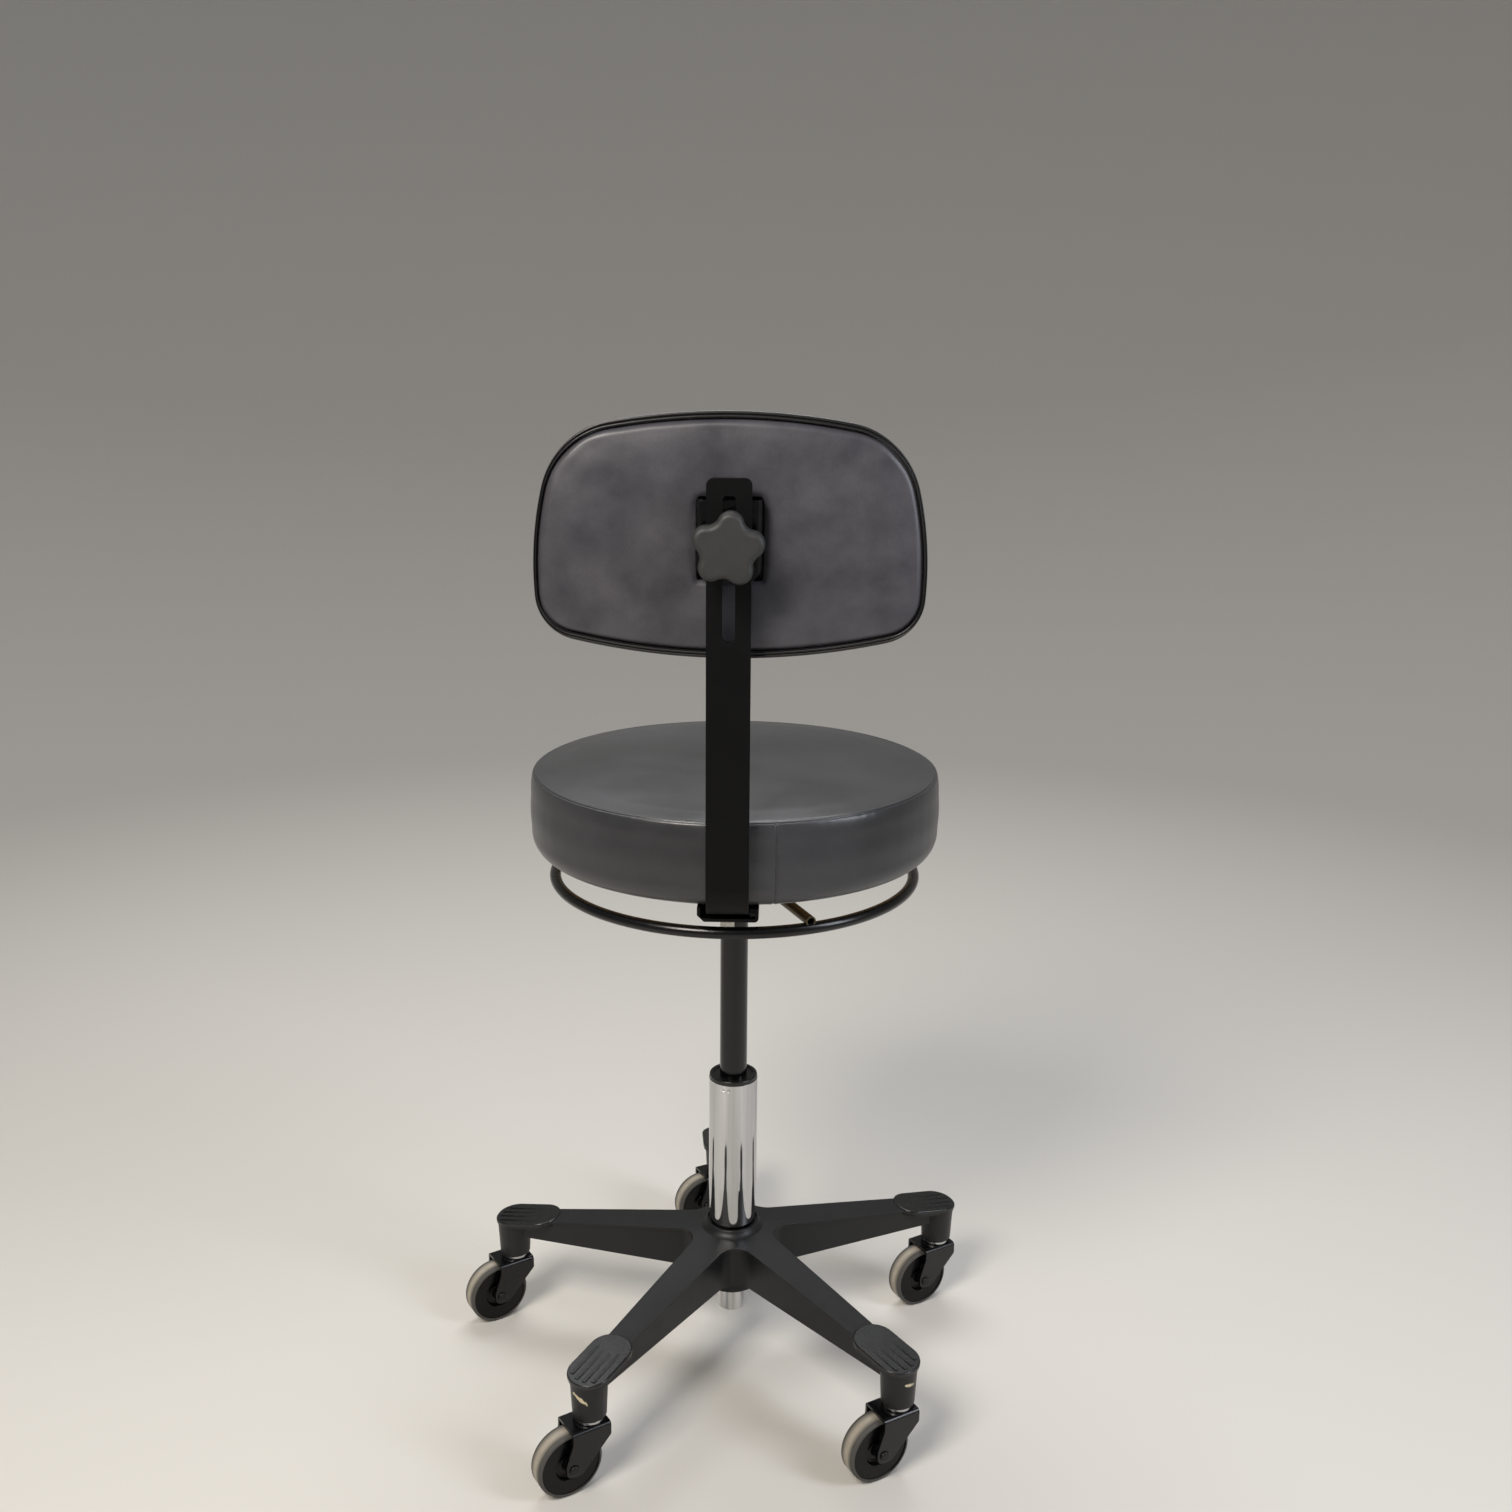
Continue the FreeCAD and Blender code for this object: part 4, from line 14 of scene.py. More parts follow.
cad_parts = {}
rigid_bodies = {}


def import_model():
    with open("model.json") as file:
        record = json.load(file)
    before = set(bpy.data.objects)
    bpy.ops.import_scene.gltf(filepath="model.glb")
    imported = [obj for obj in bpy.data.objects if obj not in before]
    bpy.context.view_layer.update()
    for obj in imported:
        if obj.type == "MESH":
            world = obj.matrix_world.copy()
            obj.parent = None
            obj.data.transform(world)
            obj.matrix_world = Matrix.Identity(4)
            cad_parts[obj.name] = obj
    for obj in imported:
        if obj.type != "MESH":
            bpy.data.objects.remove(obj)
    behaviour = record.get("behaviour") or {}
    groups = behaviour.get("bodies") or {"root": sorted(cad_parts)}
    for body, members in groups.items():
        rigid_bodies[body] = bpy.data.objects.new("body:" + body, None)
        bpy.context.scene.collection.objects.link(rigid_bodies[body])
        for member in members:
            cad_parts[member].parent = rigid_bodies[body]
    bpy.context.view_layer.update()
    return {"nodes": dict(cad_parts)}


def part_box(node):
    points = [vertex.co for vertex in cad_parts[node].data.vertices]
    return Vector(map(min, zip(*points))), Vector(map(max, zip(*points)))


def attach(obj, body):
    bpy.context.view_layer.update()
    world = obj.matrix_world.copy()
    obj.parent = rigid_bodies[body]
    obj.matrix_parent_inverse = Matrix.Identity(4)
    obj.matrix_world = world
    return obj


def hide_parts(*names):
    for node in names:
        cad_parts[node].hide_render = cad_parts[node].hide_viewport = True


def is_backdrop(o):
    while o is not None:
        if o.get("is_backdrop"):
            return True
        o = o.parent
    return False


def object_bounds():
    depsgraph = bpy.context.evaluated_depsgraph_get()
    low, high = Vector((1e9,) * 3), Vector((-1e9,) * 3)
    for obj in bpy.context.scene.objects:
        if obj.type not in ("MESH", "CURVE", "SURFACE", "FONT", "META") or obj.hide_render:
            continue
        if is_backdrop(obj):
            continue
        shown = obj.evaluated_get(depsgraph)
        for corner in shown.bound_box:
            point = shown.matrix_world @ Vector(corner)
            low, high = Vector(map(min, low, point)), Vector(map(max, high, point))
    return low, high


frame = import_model()
MM = 0.001

# %% [markdown]
# ## Small tools for materials
# Paint colours are easiest to write as sRGB hex values, the way a colour picker shows them. A shader
# works in linear light, so one function turns hex into linear numbers. A second one adds a node, sets
# its choices and joins its sockets, so a material reads as a short list of what it is made of. The
# others start a material, join its shader and turn millimetres into a noise scale.

# %% Colour and node tools
def paint(hex_colour):
    """Linear red, green, blue and alpha. Each sRGB step c becomes ((c + 0.055) / 1.055) to the power 2.4."""
    steps = np.array([int(hex_colour[k:k + 2], 16) for k in (1, 3, 5)]) / 255
    light = np.where(steps <= 0.04045, steps / 12.92, ((steps + 0.055) / 1.055) ** 2.4)
    return (*light.tolist(), 1.0)


def node(tree, kind, sockets=None, out=None, **choices):
    """Adds one node and gives back its named output, or the first one in use. A socket takes a plain value,
    or another node's output, which is linked to it."""
    made = tree.nodes.new("ShaderNode" + kind)
    for name, choice in choices.items():
        setattr(made, name, choice)
    for name, value in (sockets or {}).items():
        if isinstance(value, bpy.types.NodeSocket):
            tree.links.new(value, made.inputs[name])
        else:
            made.inputs[name].default_value = value
    return made.outputs[out] if out else next(socket for socket in made.outputs if socket.enabled)


def new_material(name, **shader_values):
    """A material with one Principled shader, its plain values set on the shader's own sockets."""
    material = bpy.data.materials.new(name)
    material.use_nodes = True
    tree = material.node_tree
    shader = tree.nodes["Principled BSDF"]
    for socket, value in shader_values.items():
        shader.inputs[socket.replace("_", " ")].default_value = value
    return material, tree, shader


def wire(tree, shader, sockets):
    """Links other nodes' outputs to the shader's named sockets."""
    for name, output in sockets.items():
        tree.links.new(output, shader.inputs[name])


def waves_per_metre(millimetres):
    """Noise scale for marks about this far apart, since a noise of scale 1 has marks 1 m apart."""
    return 1 / (millimetres * MM)


print("black nylon in linear light:", [round(c, 3) for c in paint("#2e2f31")])

# %% [markdown]
# ## Moulded plastics
# The star base is glass-filled nylon: black with a grey cast, satin, with a fine spark-eroded grain that
# scatters light softly. Toe caps, knob, bush and wheel discs are other moulded plastics. They differ in
# colour, grain and gloss only, so one function makes them all from those sizes. Large faint clouds in
# colour and roughness stand for handling and dust, and fine bumps stand for the mould's grain.

# %% A moulded plastic
SCRAPE_DEPTH = 30.0


def scrape(tree, place, centre_mm, slope, half_long_mm, half_high_mm):
    """A scraped patch round a point: its distance, stretched along a slope and frayed by noise, cut at 1."""
    centre = tuple(c * MM for c in centre_mm)
    moved = node(tree, "VectorMath", {0: place, 1: centre}, operation="SUBTRACT")
    sloped = node(tree, "VectorRotate", {"Vector": moved,
                                         "Angle": math.radians(slope)}, rotation_type="Y_AXIS")
    sizes = tuple(waves_per_metre(size_mm) for size_mm in (half_long_mm, SCRAPE_DEPTH, half_high_mm))
    share = node(tree, "VectorMath", {0: sloped, 1: sizes}, operation="MULTIPLY")
    away = node(tree, "VectorMath", {0: share}, operation="LENGTH")
    fray = node(tree, "TexNoise", {"Vector": place, "Scale": waves_per_metre(4), "Detail": 8.0,
                                   "Roughness": 0.7})
    frayed = node(tree, "Math", {0: fray, 1: 2.4, 2: away}, operation="MULTIPLY_ADD")
    return node(tree, "MapRange", {"Value": frayed, "From Min": 1.75, "From Max": 2.05,
                                   "To Min": 1.0, "To Max": 0.0})


def moulded(name, dark, light, roughness, grain_mm, grain_depth_mm, clouds_mm=60, wear=None, edge_mm=0.0,
            ior=1.5, scrapes=()):
    """Two tones mixed by large noise, roughness up and down by middle noise, grain bump by fine noise.
    With a wear colour, fine scuffs show where a stretched noise is above its edge value. With an edge
    size, sharp edges are rounded for the shading. Each scrape bares a pale patch."""
    material, tree, shader = new_material(name, IOR=ior)
    place = node(tree, "TexCoord", out="Object")
    clouds = node(tree, "TexNoise", {"Vector": place, "Scale": waves_per_metre(clouds_mm), "Detail": 5.0})
    colour = node(tree, "Mix", {"Factor": clouds, "A": paint(dark), "B": paint(light)}, data_type="RGBA")
    if wear:
        streaks = node(tree, "Mapping", {"Vector": place, "Scale": (1.0, 0.35, 0.8),
                                         "Rotation": (0.4, 0.2, 0.7)})
        scuffs = node(tree, "TexNoise", {"Vector": streaks,
                                         "Scale": waves_per_metre(5), "Detail": 8.0, "Roughness": 0.7})
        edge = node(tree, "MapRange", {"Value": scuffs, "From Min": 0.66, "From Max": 0.74})
        colour = node(tree, "Mix", {"Factor": edge, "A": colour, "B": paint(wear)}, data_type="RGBA")
    for centre_mm, slope, half_long_mm, half_high_mm in scrapes:
        scraped = scrape(tree, place, centre_mm, slope, half_long_mm, half_high_mm)
        colour = node(tree, "Mix", {"Factor": scraped, "A": colour, "B": paint("#c9bd9d")}, data_type="RGBA")
    hands = node(tree, "TexNoise", {"Vector": place, "Scale": waves_per_metre(clouds_mm / 4), "Detail": 4.0})
    gloss = node(tree, "MapRange", {"Value": hands, "To Min": roughness - 0.09,
                                    "To Max": roughness + 0.09})
    grain = node(tree, "TexNoise", {"Vector": place, "Scale": waves_per_metre(grain_mm), "Detail": 3.0})
    relief = {"Height": grain, "Distance": grain_depth_mm * MM, "Strength": 0.6}
    if edge_mm:
        relief["Normal"] = node(tree, "Bevel", {"Radius": edge_mm * MM}, samples=4)
    bump = node(tree, "Bump", relief)
    wire(tree, shader, {"Base Color": colour, "Roughness": gloss,
                        "Normal": bump})
    return material


# The mould's real grain is about 0.3 mm and too fine to show, so it is drawn 1 mm apart.
# Two of the stem sockets are scraped just under their lips: centre, slope, half length and half height.
socket_scrapes = (((133.0, 231.0, 100.0), 33.0, 11.0, 2.4), ((-174.0, 201.5, 101.0), 12.0, 6.0, 2.4))
base_nylon = moulded("glass_filled_nylon_satin", "#0e0f10", "#17181a", 0.42, 1.0, 0.10, wear="#2c2d2f",
                     edge_mm=0.8, ior=1.42, scrapes=socket_scrapes)
cap_plastic = moulded("polypropylene_caps_satin", "#101112", "#191a1b", 0.27, 1.2, 0.05)
bush_plastic = moulded("acetal_collar_black", "#0a0b0c", "#121314", 0.28, 1.5, 0.03)
wheel_plastic = moulded("wheel_disc_nylon_black", "#050506", "#0b0b0c", 0.26, 1.2, 0.03, edge_mm=0.5, ior=1.32)
knob_plastic = moulded("knob_thermoplastic_matt", "#1e1f1f", "#2d2e2e", 0.55, 0.9, 0.14, clouds_mm=16)
stop_rubber = moulded("bump_stop_rubber", "#161616", "#242424", 0.75, 1.5, 0.10)
print("moulded plastics: 6")

# %% [markdown]
# ## Paint and plating on steel
# The ring, bar, bracket, channel, forks and gas stage are black, sprayed and baked. Such paint is almost
# smooth, with a faint orange-peel ripple about 2 mm across that breaks up its highlights, and at folded
# edges it is a little thinner and catches the light. The Bevel node rounds sharp edges for the shading
# alone, which gives every folded or stamped edge its thin bright line without any new mesh.

# %% Baked paint
def baked_paint(name, dark, light, roughness, edge_mm=0.5, ripple_mm=2.0, ripple_depth_mm=0.02, coat=0.2,
                ior=1.4):
    """Two near tones mixed by noise, a clear top coat, and ripples on top of edges rounded for the shading."""
    material, tree, shader = new_material(name, IOR=ior, Coat_Weight=coat, Coat_Roughness=0.18)
    place = node(tree, "TexCoord", out="Object")
    clouds = node(tree, "TexNoise", {"Vector": place, "Scale": waves_per_metre(35), "Detail": 6.0})
    tone = node(tree, "Mix", {"Factor": clouds, "A": paint(dark), "B": paint(light)}, data_type="RGBA")
    smears = node(tree, "TexNoise", {"Vector": place, "Scale": waves_per_metre(12), "Detail": 5.0})
    gloss = node(tree, "MapRange", {"Value": smears, "To Min": roughness - 0.08,
                                    "To Max": roughness + 0.10})
    rounded = node(tree, "Bevel", {"Radius": edge_mm * MM}, samples=4)
    peel = node(tree, "TexNoise", {"Vector": place, "Scale": waves_per_metre(ripple_mm), "Detail": 2.0})
    bump = node(tree, "Bump", {"Height": peel, "Distance": ripple_depth_mm * MM,
                               "Strength": 0.5, "Normal": rounded})
    wire(tree, shader, {"Base Color": tone, "Roughness": gloss,
                        "Normal": bump})
    return material


bar_paint = baked_paint("powder_coat_bar_black", "#020203", "#050506", 0.46, edge_mm=0.7, coat=0.0, ior=1.26)
bracket_paint = baked_paint("baked_enamel_bracket_black", "#020203", "#060607", 0.20, edge_mm=1.0,
                            coat=0.3, ior=1.3)
ring_paint = baked_paint("baked_enamel_ring_black", "#050506", "#0a0a0c", 0.24, ior=1.36)
stage_paint = baked_paint("baked_enamel_stage_black", "#040405", "#08090a", 0.16, coat=0.5, ior=1.26)
fork_paint = baked_paint("electrophoretic_fork_black", "#030304", "#08080a", 0.24, edge_mm=0.9, ior=1.4)
plate_paint = baked_paint("baked_enamel_plate_black", "#060607", "#0d0d0f", 0.42)
fastener_black = baked_paint("black_oxide_fasteners", "#08080a", "#121213", 0.36, edge_mm=0.4, coat=0.0)
print("painted steels: 7")

# %% [markdown]
# Bare and plated steel is a metal, so its colour is the colour of its reflection. Chrome is very smooth
# and mirrors the floor; its tall light and dark bands are painted reflections in its colour, over faint
# lines along the drawn tube. Zinc plate is duller and slightly cloudy, yellow zinc is brownish, and ground
# rod is fine-lined round its axis. All of them keep the default IOR.

# %% Plated and bare metals
def bare_metal(name, dark, light, roughness, spread, marks_mm, stretch=(1.0, 1.0, 1.0), mark_depth_mm=0.01):
    """Metal reflection in two tones mixed by noise. The same stretched noise moves the roughness and the
    bump, so brushed or drawn marks are seen in both. Where the two tones lie far apart, as on the chrome,
    the stretched bands are painted reflections."""
    material, tree, shader = new_material(name, Metallic=1.0)
    place = node(tree, "TexCoord", out="Object")
    drawn = node(tree, "Mapping", {"Vector": place, "Scale": stretch})
    marks = node(tree, "TexNoise", {"Vector": drawn, "Scale": waves_per_metre(marks_mm),
                                    "Detail": 7.0, "Roughness": 0.6})
    tone = node(tree, "Mix", {"Factor": marks, "A": paint(dark), "B": paint(light)}, data_type="RGBA")
    gloss = node(tree, "MapRange", {"Value": marks, "To Min": max(roughness - spread, 0.02),
                                    "To Max": roughness + spread})
    bump = node(tree, "Bump", {"Height": marks, "Distance": mark_depth_mm * MM, "Strength": 0.2})
    wire(tree, shader, {"Base Color": tone, "Roughness": gloss,
                        "Normal": bump})
    return material


# On the chrome, the light and dark tall bands in the colour are painted reflections of the floor, over faint
# drawn lines in the bump.
chrome_painted_reflections = bare_metal("bright_chrome_painted_reflections", "#87888a", "#f2f2f3", 0.08, 0.03, 11, (1.0, 1.0, 0.02), 0.004)
rod_steel = bare_metal("ground_rod_steel", "#9b9c9e", "#bcbdbf", 0.20, 0.06, 1.5, (0.2, 0.2, 1.0))
bearing_steel = bare_metal("bearing_steel_polished", "#a9a9aa", "#c8c8c9", 0.14, 0.05, 4)
race_zinc = bare_metal("zinc_plate_bright", "#a8a9ab", "#d2d3d5", 0.26, 0.08, 6, mark_depth_mm=0.02)
screw_zinc = bare_metal("zinc_plate_screws", "#9a9b9c", "#c2c3c5", 0.32, 0.08, 4, mark_depth_mm=0.02)
spoke_zinc = bare_metal("yellow_zinc_spokes", "#4b4436", "#6b6049", 0.46, 0.10, 7, mark_depth_mm=0.02)
insert_brass = bare_metal("turned_brass_insert", "#a8884a", "#c9a862", 0.24, 0.06, 2)
print("metals: 7")

# %% [markdown]
# ## Tread and plywood
# A castor's tread is grey rubber that has picked up floor dust: pale and chalky where it rolls, darker at
# its shoulders. Each wheel is turned its own way, so a subtraction and a rotation carry the pattern to the
# wheel's own centre and axle, and the distance along the axle decides how worn the rubber looks.

# %% Worn tread
def worn_tread(name, centre, turn, half_width):
    """Dark shoulders and a pale rolling band, chosen by the distance from the middle along the axle, with
    blotches of dust. A subtraction and a rotation undo the wheel's place and turn, so X lies along its axle."""
    material, tree, shader = new_material(name, IOR=1.52, Roughness=0.68)
    place = node(tree, "TexCoord", out="Object")
    moved = node(tree, "VectorMath", {0: place, 1: centre}, operation="SUBTRACT")
    turned = node(tree, "VectorRotate", {"Vector": moved, "Angle": -turn}, rotation_type="Z_AXIS")
    along = node(tree, "SeparateXYZ", {"Vector": turned})
    apart = node(tree, "Math", {0: along}, operation="ABSOLUTE")
    dust = node(tree, "TexNoise", {"Vector": place, "Scale": waves_per_metre(9), "Detail": 7.0,
                                   "Roughness": 0.65})
    frayed = node(tree, "Math", {0: dust, 1: 0.003, 2: apart}, operation="MULTIPLY_ADD")
    band = node(tree, "MapRange", {"Value": frayed, "From Min": half_width * 0.30,
                                   "From Max": half_width * 0.85, "To Min": 0.0, "To Max": 1.0})
    pale = node(tree, "Mix", {"Factor": dust, "A": paint("#7d776d"), "B": paint("#bdb4a4")},
                data_type="RGBA")
    tone = node(tree, "Mix", {"Factor": band, "A": pale, "B": paint("#454340")}, data_type="RGBA")
    scuff = node(tree, "TexNoise", {"Vector": place, "Scale": waves_per_metre(1.4), "Detail": 4.0})
    bump = node(tree, "Bump", {"Height": scuff, "Distance": 0.15 * MM, "Strength": 0.5})
    wire(tree, shader, {"Base Color": tone, "Normal": bump})
    return material


treads = {}
for name in sorted(n for n in frame["nodes"] if n.startswith("wheel_tread_")):
    low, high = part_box(name)
    middle = (low + high) / 2
    # An axle is a long thin rod, so the first axis of its points, seen from above, is its own direction.
    corner = bpy.data.objects[name.replace("wheel_tread", "castor_axle")].data.vertices
    points = np.empty(len(corner) * 3)
    corner.foreach_get("co", points)
    flat = points.reshape(-1, 3)[:, :2] - np.array(middle[:2])
    _, _, axes = np.linalg.svd(flat, full_matrices=False)
    turn = math.atan2(axes[0][1], axes[0][0])
    treads[name] = worn_tread("dusty_rubber_" + name[-1], tuple(middle), turn, 10.2 * MM)
print("treads:", len(treads))

# %% Plywood
def birch_plywood(name, dark, light, glue):
    """Thin veneers stacked upwards: a wave along Z with 1.5 mm steps on the edges, and long grain along Y."""
    material, tree, shader = new_material(name, IOR=1.5, Roughness=0.6)
    place = node(tree, "TexCoord", out="Object")
    along = node(tree, "Mapping", {"Vector": place, "Scale": (1.0, 0.08, 1.0)})
    grain = node(tree, "TexNoise", {"Vector": along, "Scale": waves_per_metre(3),
                                    "Detail": 8.0, "Distortion": 0.4})
    layers = node(tree, "TexWave", {"Vector": place, "Scale": waves_per_metre(3) / math.tau,
                                    "Distortion": 0.3}, out="Fac", bands_direction="Z")
    face = node(tree, "Mix", {"Factor": grain, "A": paint(dark), "B": paint(light)}, data_type="RGBA")
    stack = node(tree, "Math", {0: layers, 1: 0.35}, operation="MULTIPLY")
    tone = node(tree, "Mix", {"Factor": stack, "A": face, "B": paint(glue)}, data_type="RGBA")
    bump = node(tree, "Bump", {"Height": grain, "Distance": 0.1 * MM, "Strength": 0.4})
    wire(tree, shader, {"Base Color": tone, "Normal": bump})
    return material


plywood = birch_plywood("birch_plywood", "#b08a5c", "#d2b184", "#8a6740")
dark_plywood = birch_plywood("black_stained_plywood", "#0c0b0a", "#171513", "#080706")
print("plywoods: 2")

# %% [markdown]
# ## Vinyl
# The upholstery is PVC-coated cloth: grey with a faint violet cast, embossed with a small leather grain.
# Its coating has a broad soft shine where it rolls over an edge. Cells from a Voronoi pattern make the
# grain's pebbles, and fine noise softens them. The real pebbles are about 0.8 mm, too fine to show, so
# they are drawn 1.6 mm apart. Large clouds make the slightly rubbed and slightly darker areas of use.

# %% Embossed vinyl
def embossed_vinyl(name, dark, light, roughness, pebble_mm=1.6, depth_mm=0.10, coat=0.12, clouds_mm=90):
    """Tones, dirt and gloss from noise at three sizes, with the pebbles' relief under a fine one."""
    material, tree, shader = new_material(name, IOR=1.5, Coat_Weight=coat, Coat_Roughness=0.32,
                                          Sheen_Weight=0.04)
    place = node(tree, "TexCoord", out="Object")
    clouds = node(tree, "TexNoise", {"Vector": place, "Scale": waves_per_metre(clouds_mm), "Detail": 6.0,
                                     "Roughness": 0.55})
    spread = node(tree, "MapRange", {"Value": clouds, "From Min": 0.3, "From Max": 0.7})
    tone = node(tree, "Mix", {"Factor": spread, "A": paint(dark), "B": paint(light)}, data_type="RGBA")
    pebbles = node(tree, "TexVoronoi", {"Vector": place, "Scale": waves_per_metre(pebble_mm)},
                   feature="SMOOTH_F1")
    speck = node(tree, "TexNoise", {"Vector": place, "Scale": waves_per_metre(2.2), "Detail": 6.0,
                                    "Roughness": 0.7})
    dirt = node(tree, "MapRange", {"Value": speck, "From Min": 0.35, "From Max": 0.65,
                                   "To Min": 0.90, "To Max": 1.06})
    shade = node(tree, "Mix", {"Factor": 1.0, "A": tone, "B": dirt},
                 data_type="RGBA", blend_type="MULTIPLY")
    gloss = node(tree, "MapRange", {"Value": clouds, "From Min": 0.25, "From Max": 0.75,
                                    "To Min": roughness - 0.06, "To Max": roughness + 0.08})
    bump = node(tree, "Bump", {"Height": pebbles, "Distance": depth_mm * MM,
                               "Strength": 0.35}, invert=True)
    fine = node(tree, "Bump", {"Height": speck, "Distance": 0.05 * MM, "Strength": 0.4, "Normal": bump})
    wire(tree, shader, {"Base Color": shade, "Roughness": gloss,
                        "Normal": fine})
    return material


seat_vinyl = embossed_vinyl("vinyl_seat_charcoal", "#232427", "#313135", 0.34, coat=0.16)
back_vinyl = embossed_vinyl("vinyl_back_grey", "#343339", "#48474d", 0.42, coat=0.08, clouds_mm=38)
trim_vinyl = embossed_vinyl("vinyl_welt_black", "#070708", "#0f0f11", 0.34, pebble_mm=2.0, depth_mm=0.04,
                            coat=0.15)
seam_thread = moulded("bonded_nylon_thread", "#2a2a2d", "#3c3c40", 0.62, 0.6, 0.05, clouds_mm=5)
print("vinyls: 3, thread: 1")

# %% [markdown]
# ## Finishes on the CAD parts
# Every part that came from the CAD model is named here with its finish. Nothing is moved or reshaped.

# %% Dressing the CAD parts
finishes = {
    "star_base": base_nylon, "toe_caps": cap_plastic, "column_tube": chrome_painted_reflections, "guide_bush": bush_plastic,
    "retaining_clip": bearing_steel, "thrust_bearing": bearing_steel, "bump_stop": stop_rubber,
    "piston_rod": rod_steel, "gas_cylinder": stage_paint, "valve_button": race_zinc, "seat_plate": plate_paint,
    "seat_screws": screw_zinc, "seat_board": plywood, "release_ring": ring_paint, "ring_spokes": spoke_zinc,
    "ring_hub": plate_paint, "tilt_bracket": plate_paint, "tilt_pin": screw_zinc, "release_lever": screw_zinc,
    "back_bar": bar_paint, "bar_channel": bar_paint, "bar_bolts": fastener_black, "tee_nuts": screw_zinc,
    "clamp_grub_screw": fastener_black, "clamp_lock_nut": fastener_black, "back_board": dark_plywood,
    "back_bracket": bracket_paint, "bracket_bolts": screw_zinc, "clamp_stud": screw_zinc,
    "clamp_washer": fastener_black, "clamp_knob": knob_plastic, "knob_insert": insert_brass,
    "castor_stems": screw_zinc, "castor_races": race_zinc, "race_balls": bearing_steel,
}
by_beginning = {"castor_fork_": fork_paint, "castor_axle_": fastener_black, "wheel_core_": wheel_plastic}
soft_nodes = ("seat_cushion", "rear_pad", "front_cushion", "edge_trim")
for name, part in frame["nodes"].items():
    beginning = next((b for b in by_beginning if name.startswith(b)), None)
    finish = treads.get(name) or finishes.get(name) or by_beginning.get(beginning)
    if name in soft_nodes:
        continue
    part.data.materials.clear()
    part.data.materials.append(finish)
print("dressed:", len(frame["nodes"]) - len(soft_nodes), "of", len(frame["nodes"]))

# %% [markdown]
# ## Surfaces from grids
# Each soft piece is one closed sheet: a grid of points, closed round in one direction and either closed
# or pulled to a point in the other. Numbering the grid's squares with whole arrays makes the faces at
# once, and a UV map made from the same grid lets a seam or stitch follow the sheet.

# %% A closed grid becomes a mesh
def new_object(name, corners, faces):
    """A smooth-shaded mesh in an object of its own, linked to the scene."""
    mesh = bpy.data.meshes.new(name)
    mesh.from_pydata(corners.tolist(), [], faces)
    mesh.validate()
    mesh.update()
    mesh.shade_smooth()
    made = bpy.data.objects.new(name, mesh)
    bpy.context.scene.collection.objects.link(made)
    return made


def grid_mesh(name, points, close_rows, poles=False):
    """points is rows x columns x 3. Columns always close round. Rows close too if close_rows is true.
    With poles, the first and last rows are single points, closed by fans of triangles."""
    rows, columns = points.shape[:2]
    index = np.arange(rows * columns).reshape(rows, columns)
    beside = np.roll(index, -1, axis=1)
    if close_rows:
        below, below_beside = np.roll(index, -1, axis=0), np.roll(beside, -1, axis=0)
        here, here_beside = index, beside
    else:
        here, here_beside, below, below_beside = index[:-1], beside[:-1], index[1:], beside[1:]
    faces = np.stack([here, here_beside, below_beside, below], axis=-1).reshape(-1, 4).tolist()
    corners = points.reshape(-1, 3)
    if poles:
        first, last = len(corners), len(corners) + 1
        corners = np.vstack([corners, points[0].mean(0), points[-1].mean(0)])
        faces += np.stack([np.full(columns, first), beside[0], index[0]], -1).tolist()
        faces += np.stack([np.full(columns, last), index[-1], beside[-1]], -1).tolist()
    return new_object(name, corners, faces)


def corners_of(thing):
    """All of a mesh's points as one array."""
    mesh = thing if isinstance(thing, bpy.types.Mesh) else thing.data
    flat = np.empty(len(mesh.vertices) * 3)
    mesh.vertices.foreach_get("co", flat)
    return flat.reshape(-1, 3)


def put_corners(piece, points):
    piece.data.vertices.foreach_set("co", np.ascontiguousarray(points, dtype=np.float32).ravel())
    piece.data.update()


def volume_of(piece):
    """Volume inside a closed mesh in cubic centimetres: one sixth of each triangle's corners' triple product.
    It is positive when the faces point outwards."""
    mesh = piece.data
    mesh.calc_loop_triangles()
    index = np.empty(len(mesh.loop_triangles) * 3, dtype=np.int32)
    mesh.loop_triangles.foreach_get("vertices", index)
    a, b, c = corners_of(mesh)[index.reshape(-1, 3)].transpose(1, 0, 2)
    return float(np.einsum("ij,ij->i", a, np.cross(b, c)).sum() / 6 * 1e6)


def steps(*stops):
    """Evenly spaced values between stops, given as value, count, value, count, ..., value."""
    parts = [np.linspace(stops[k], stops[k + 2], stops[k + 1], endpoint=False)
             for k in range(0, len(stops) - 2, 2)]
    return np.concatenate([*parts, [stops[-1]]])


print("steps:", steps(0.0, 2, 1.0, 2, 3.0))

# %% [markdown]
# ## Stuffing a cover
# Foam under a tight cover pushes it out between the lines that hold it. Blender's cloth does the same
# with a little pressure inside and no gravity. Cloth likes even squares, so a voxel copy of the piece
# is blown up, and the neat grid is then wrapped onto the copy. Where the board, a seam or the bracket
# holds the cover, its points are pinned, and nowhere may the cover travel further than a cap.

# %% Swell
SETTLE_FRAMES = 20


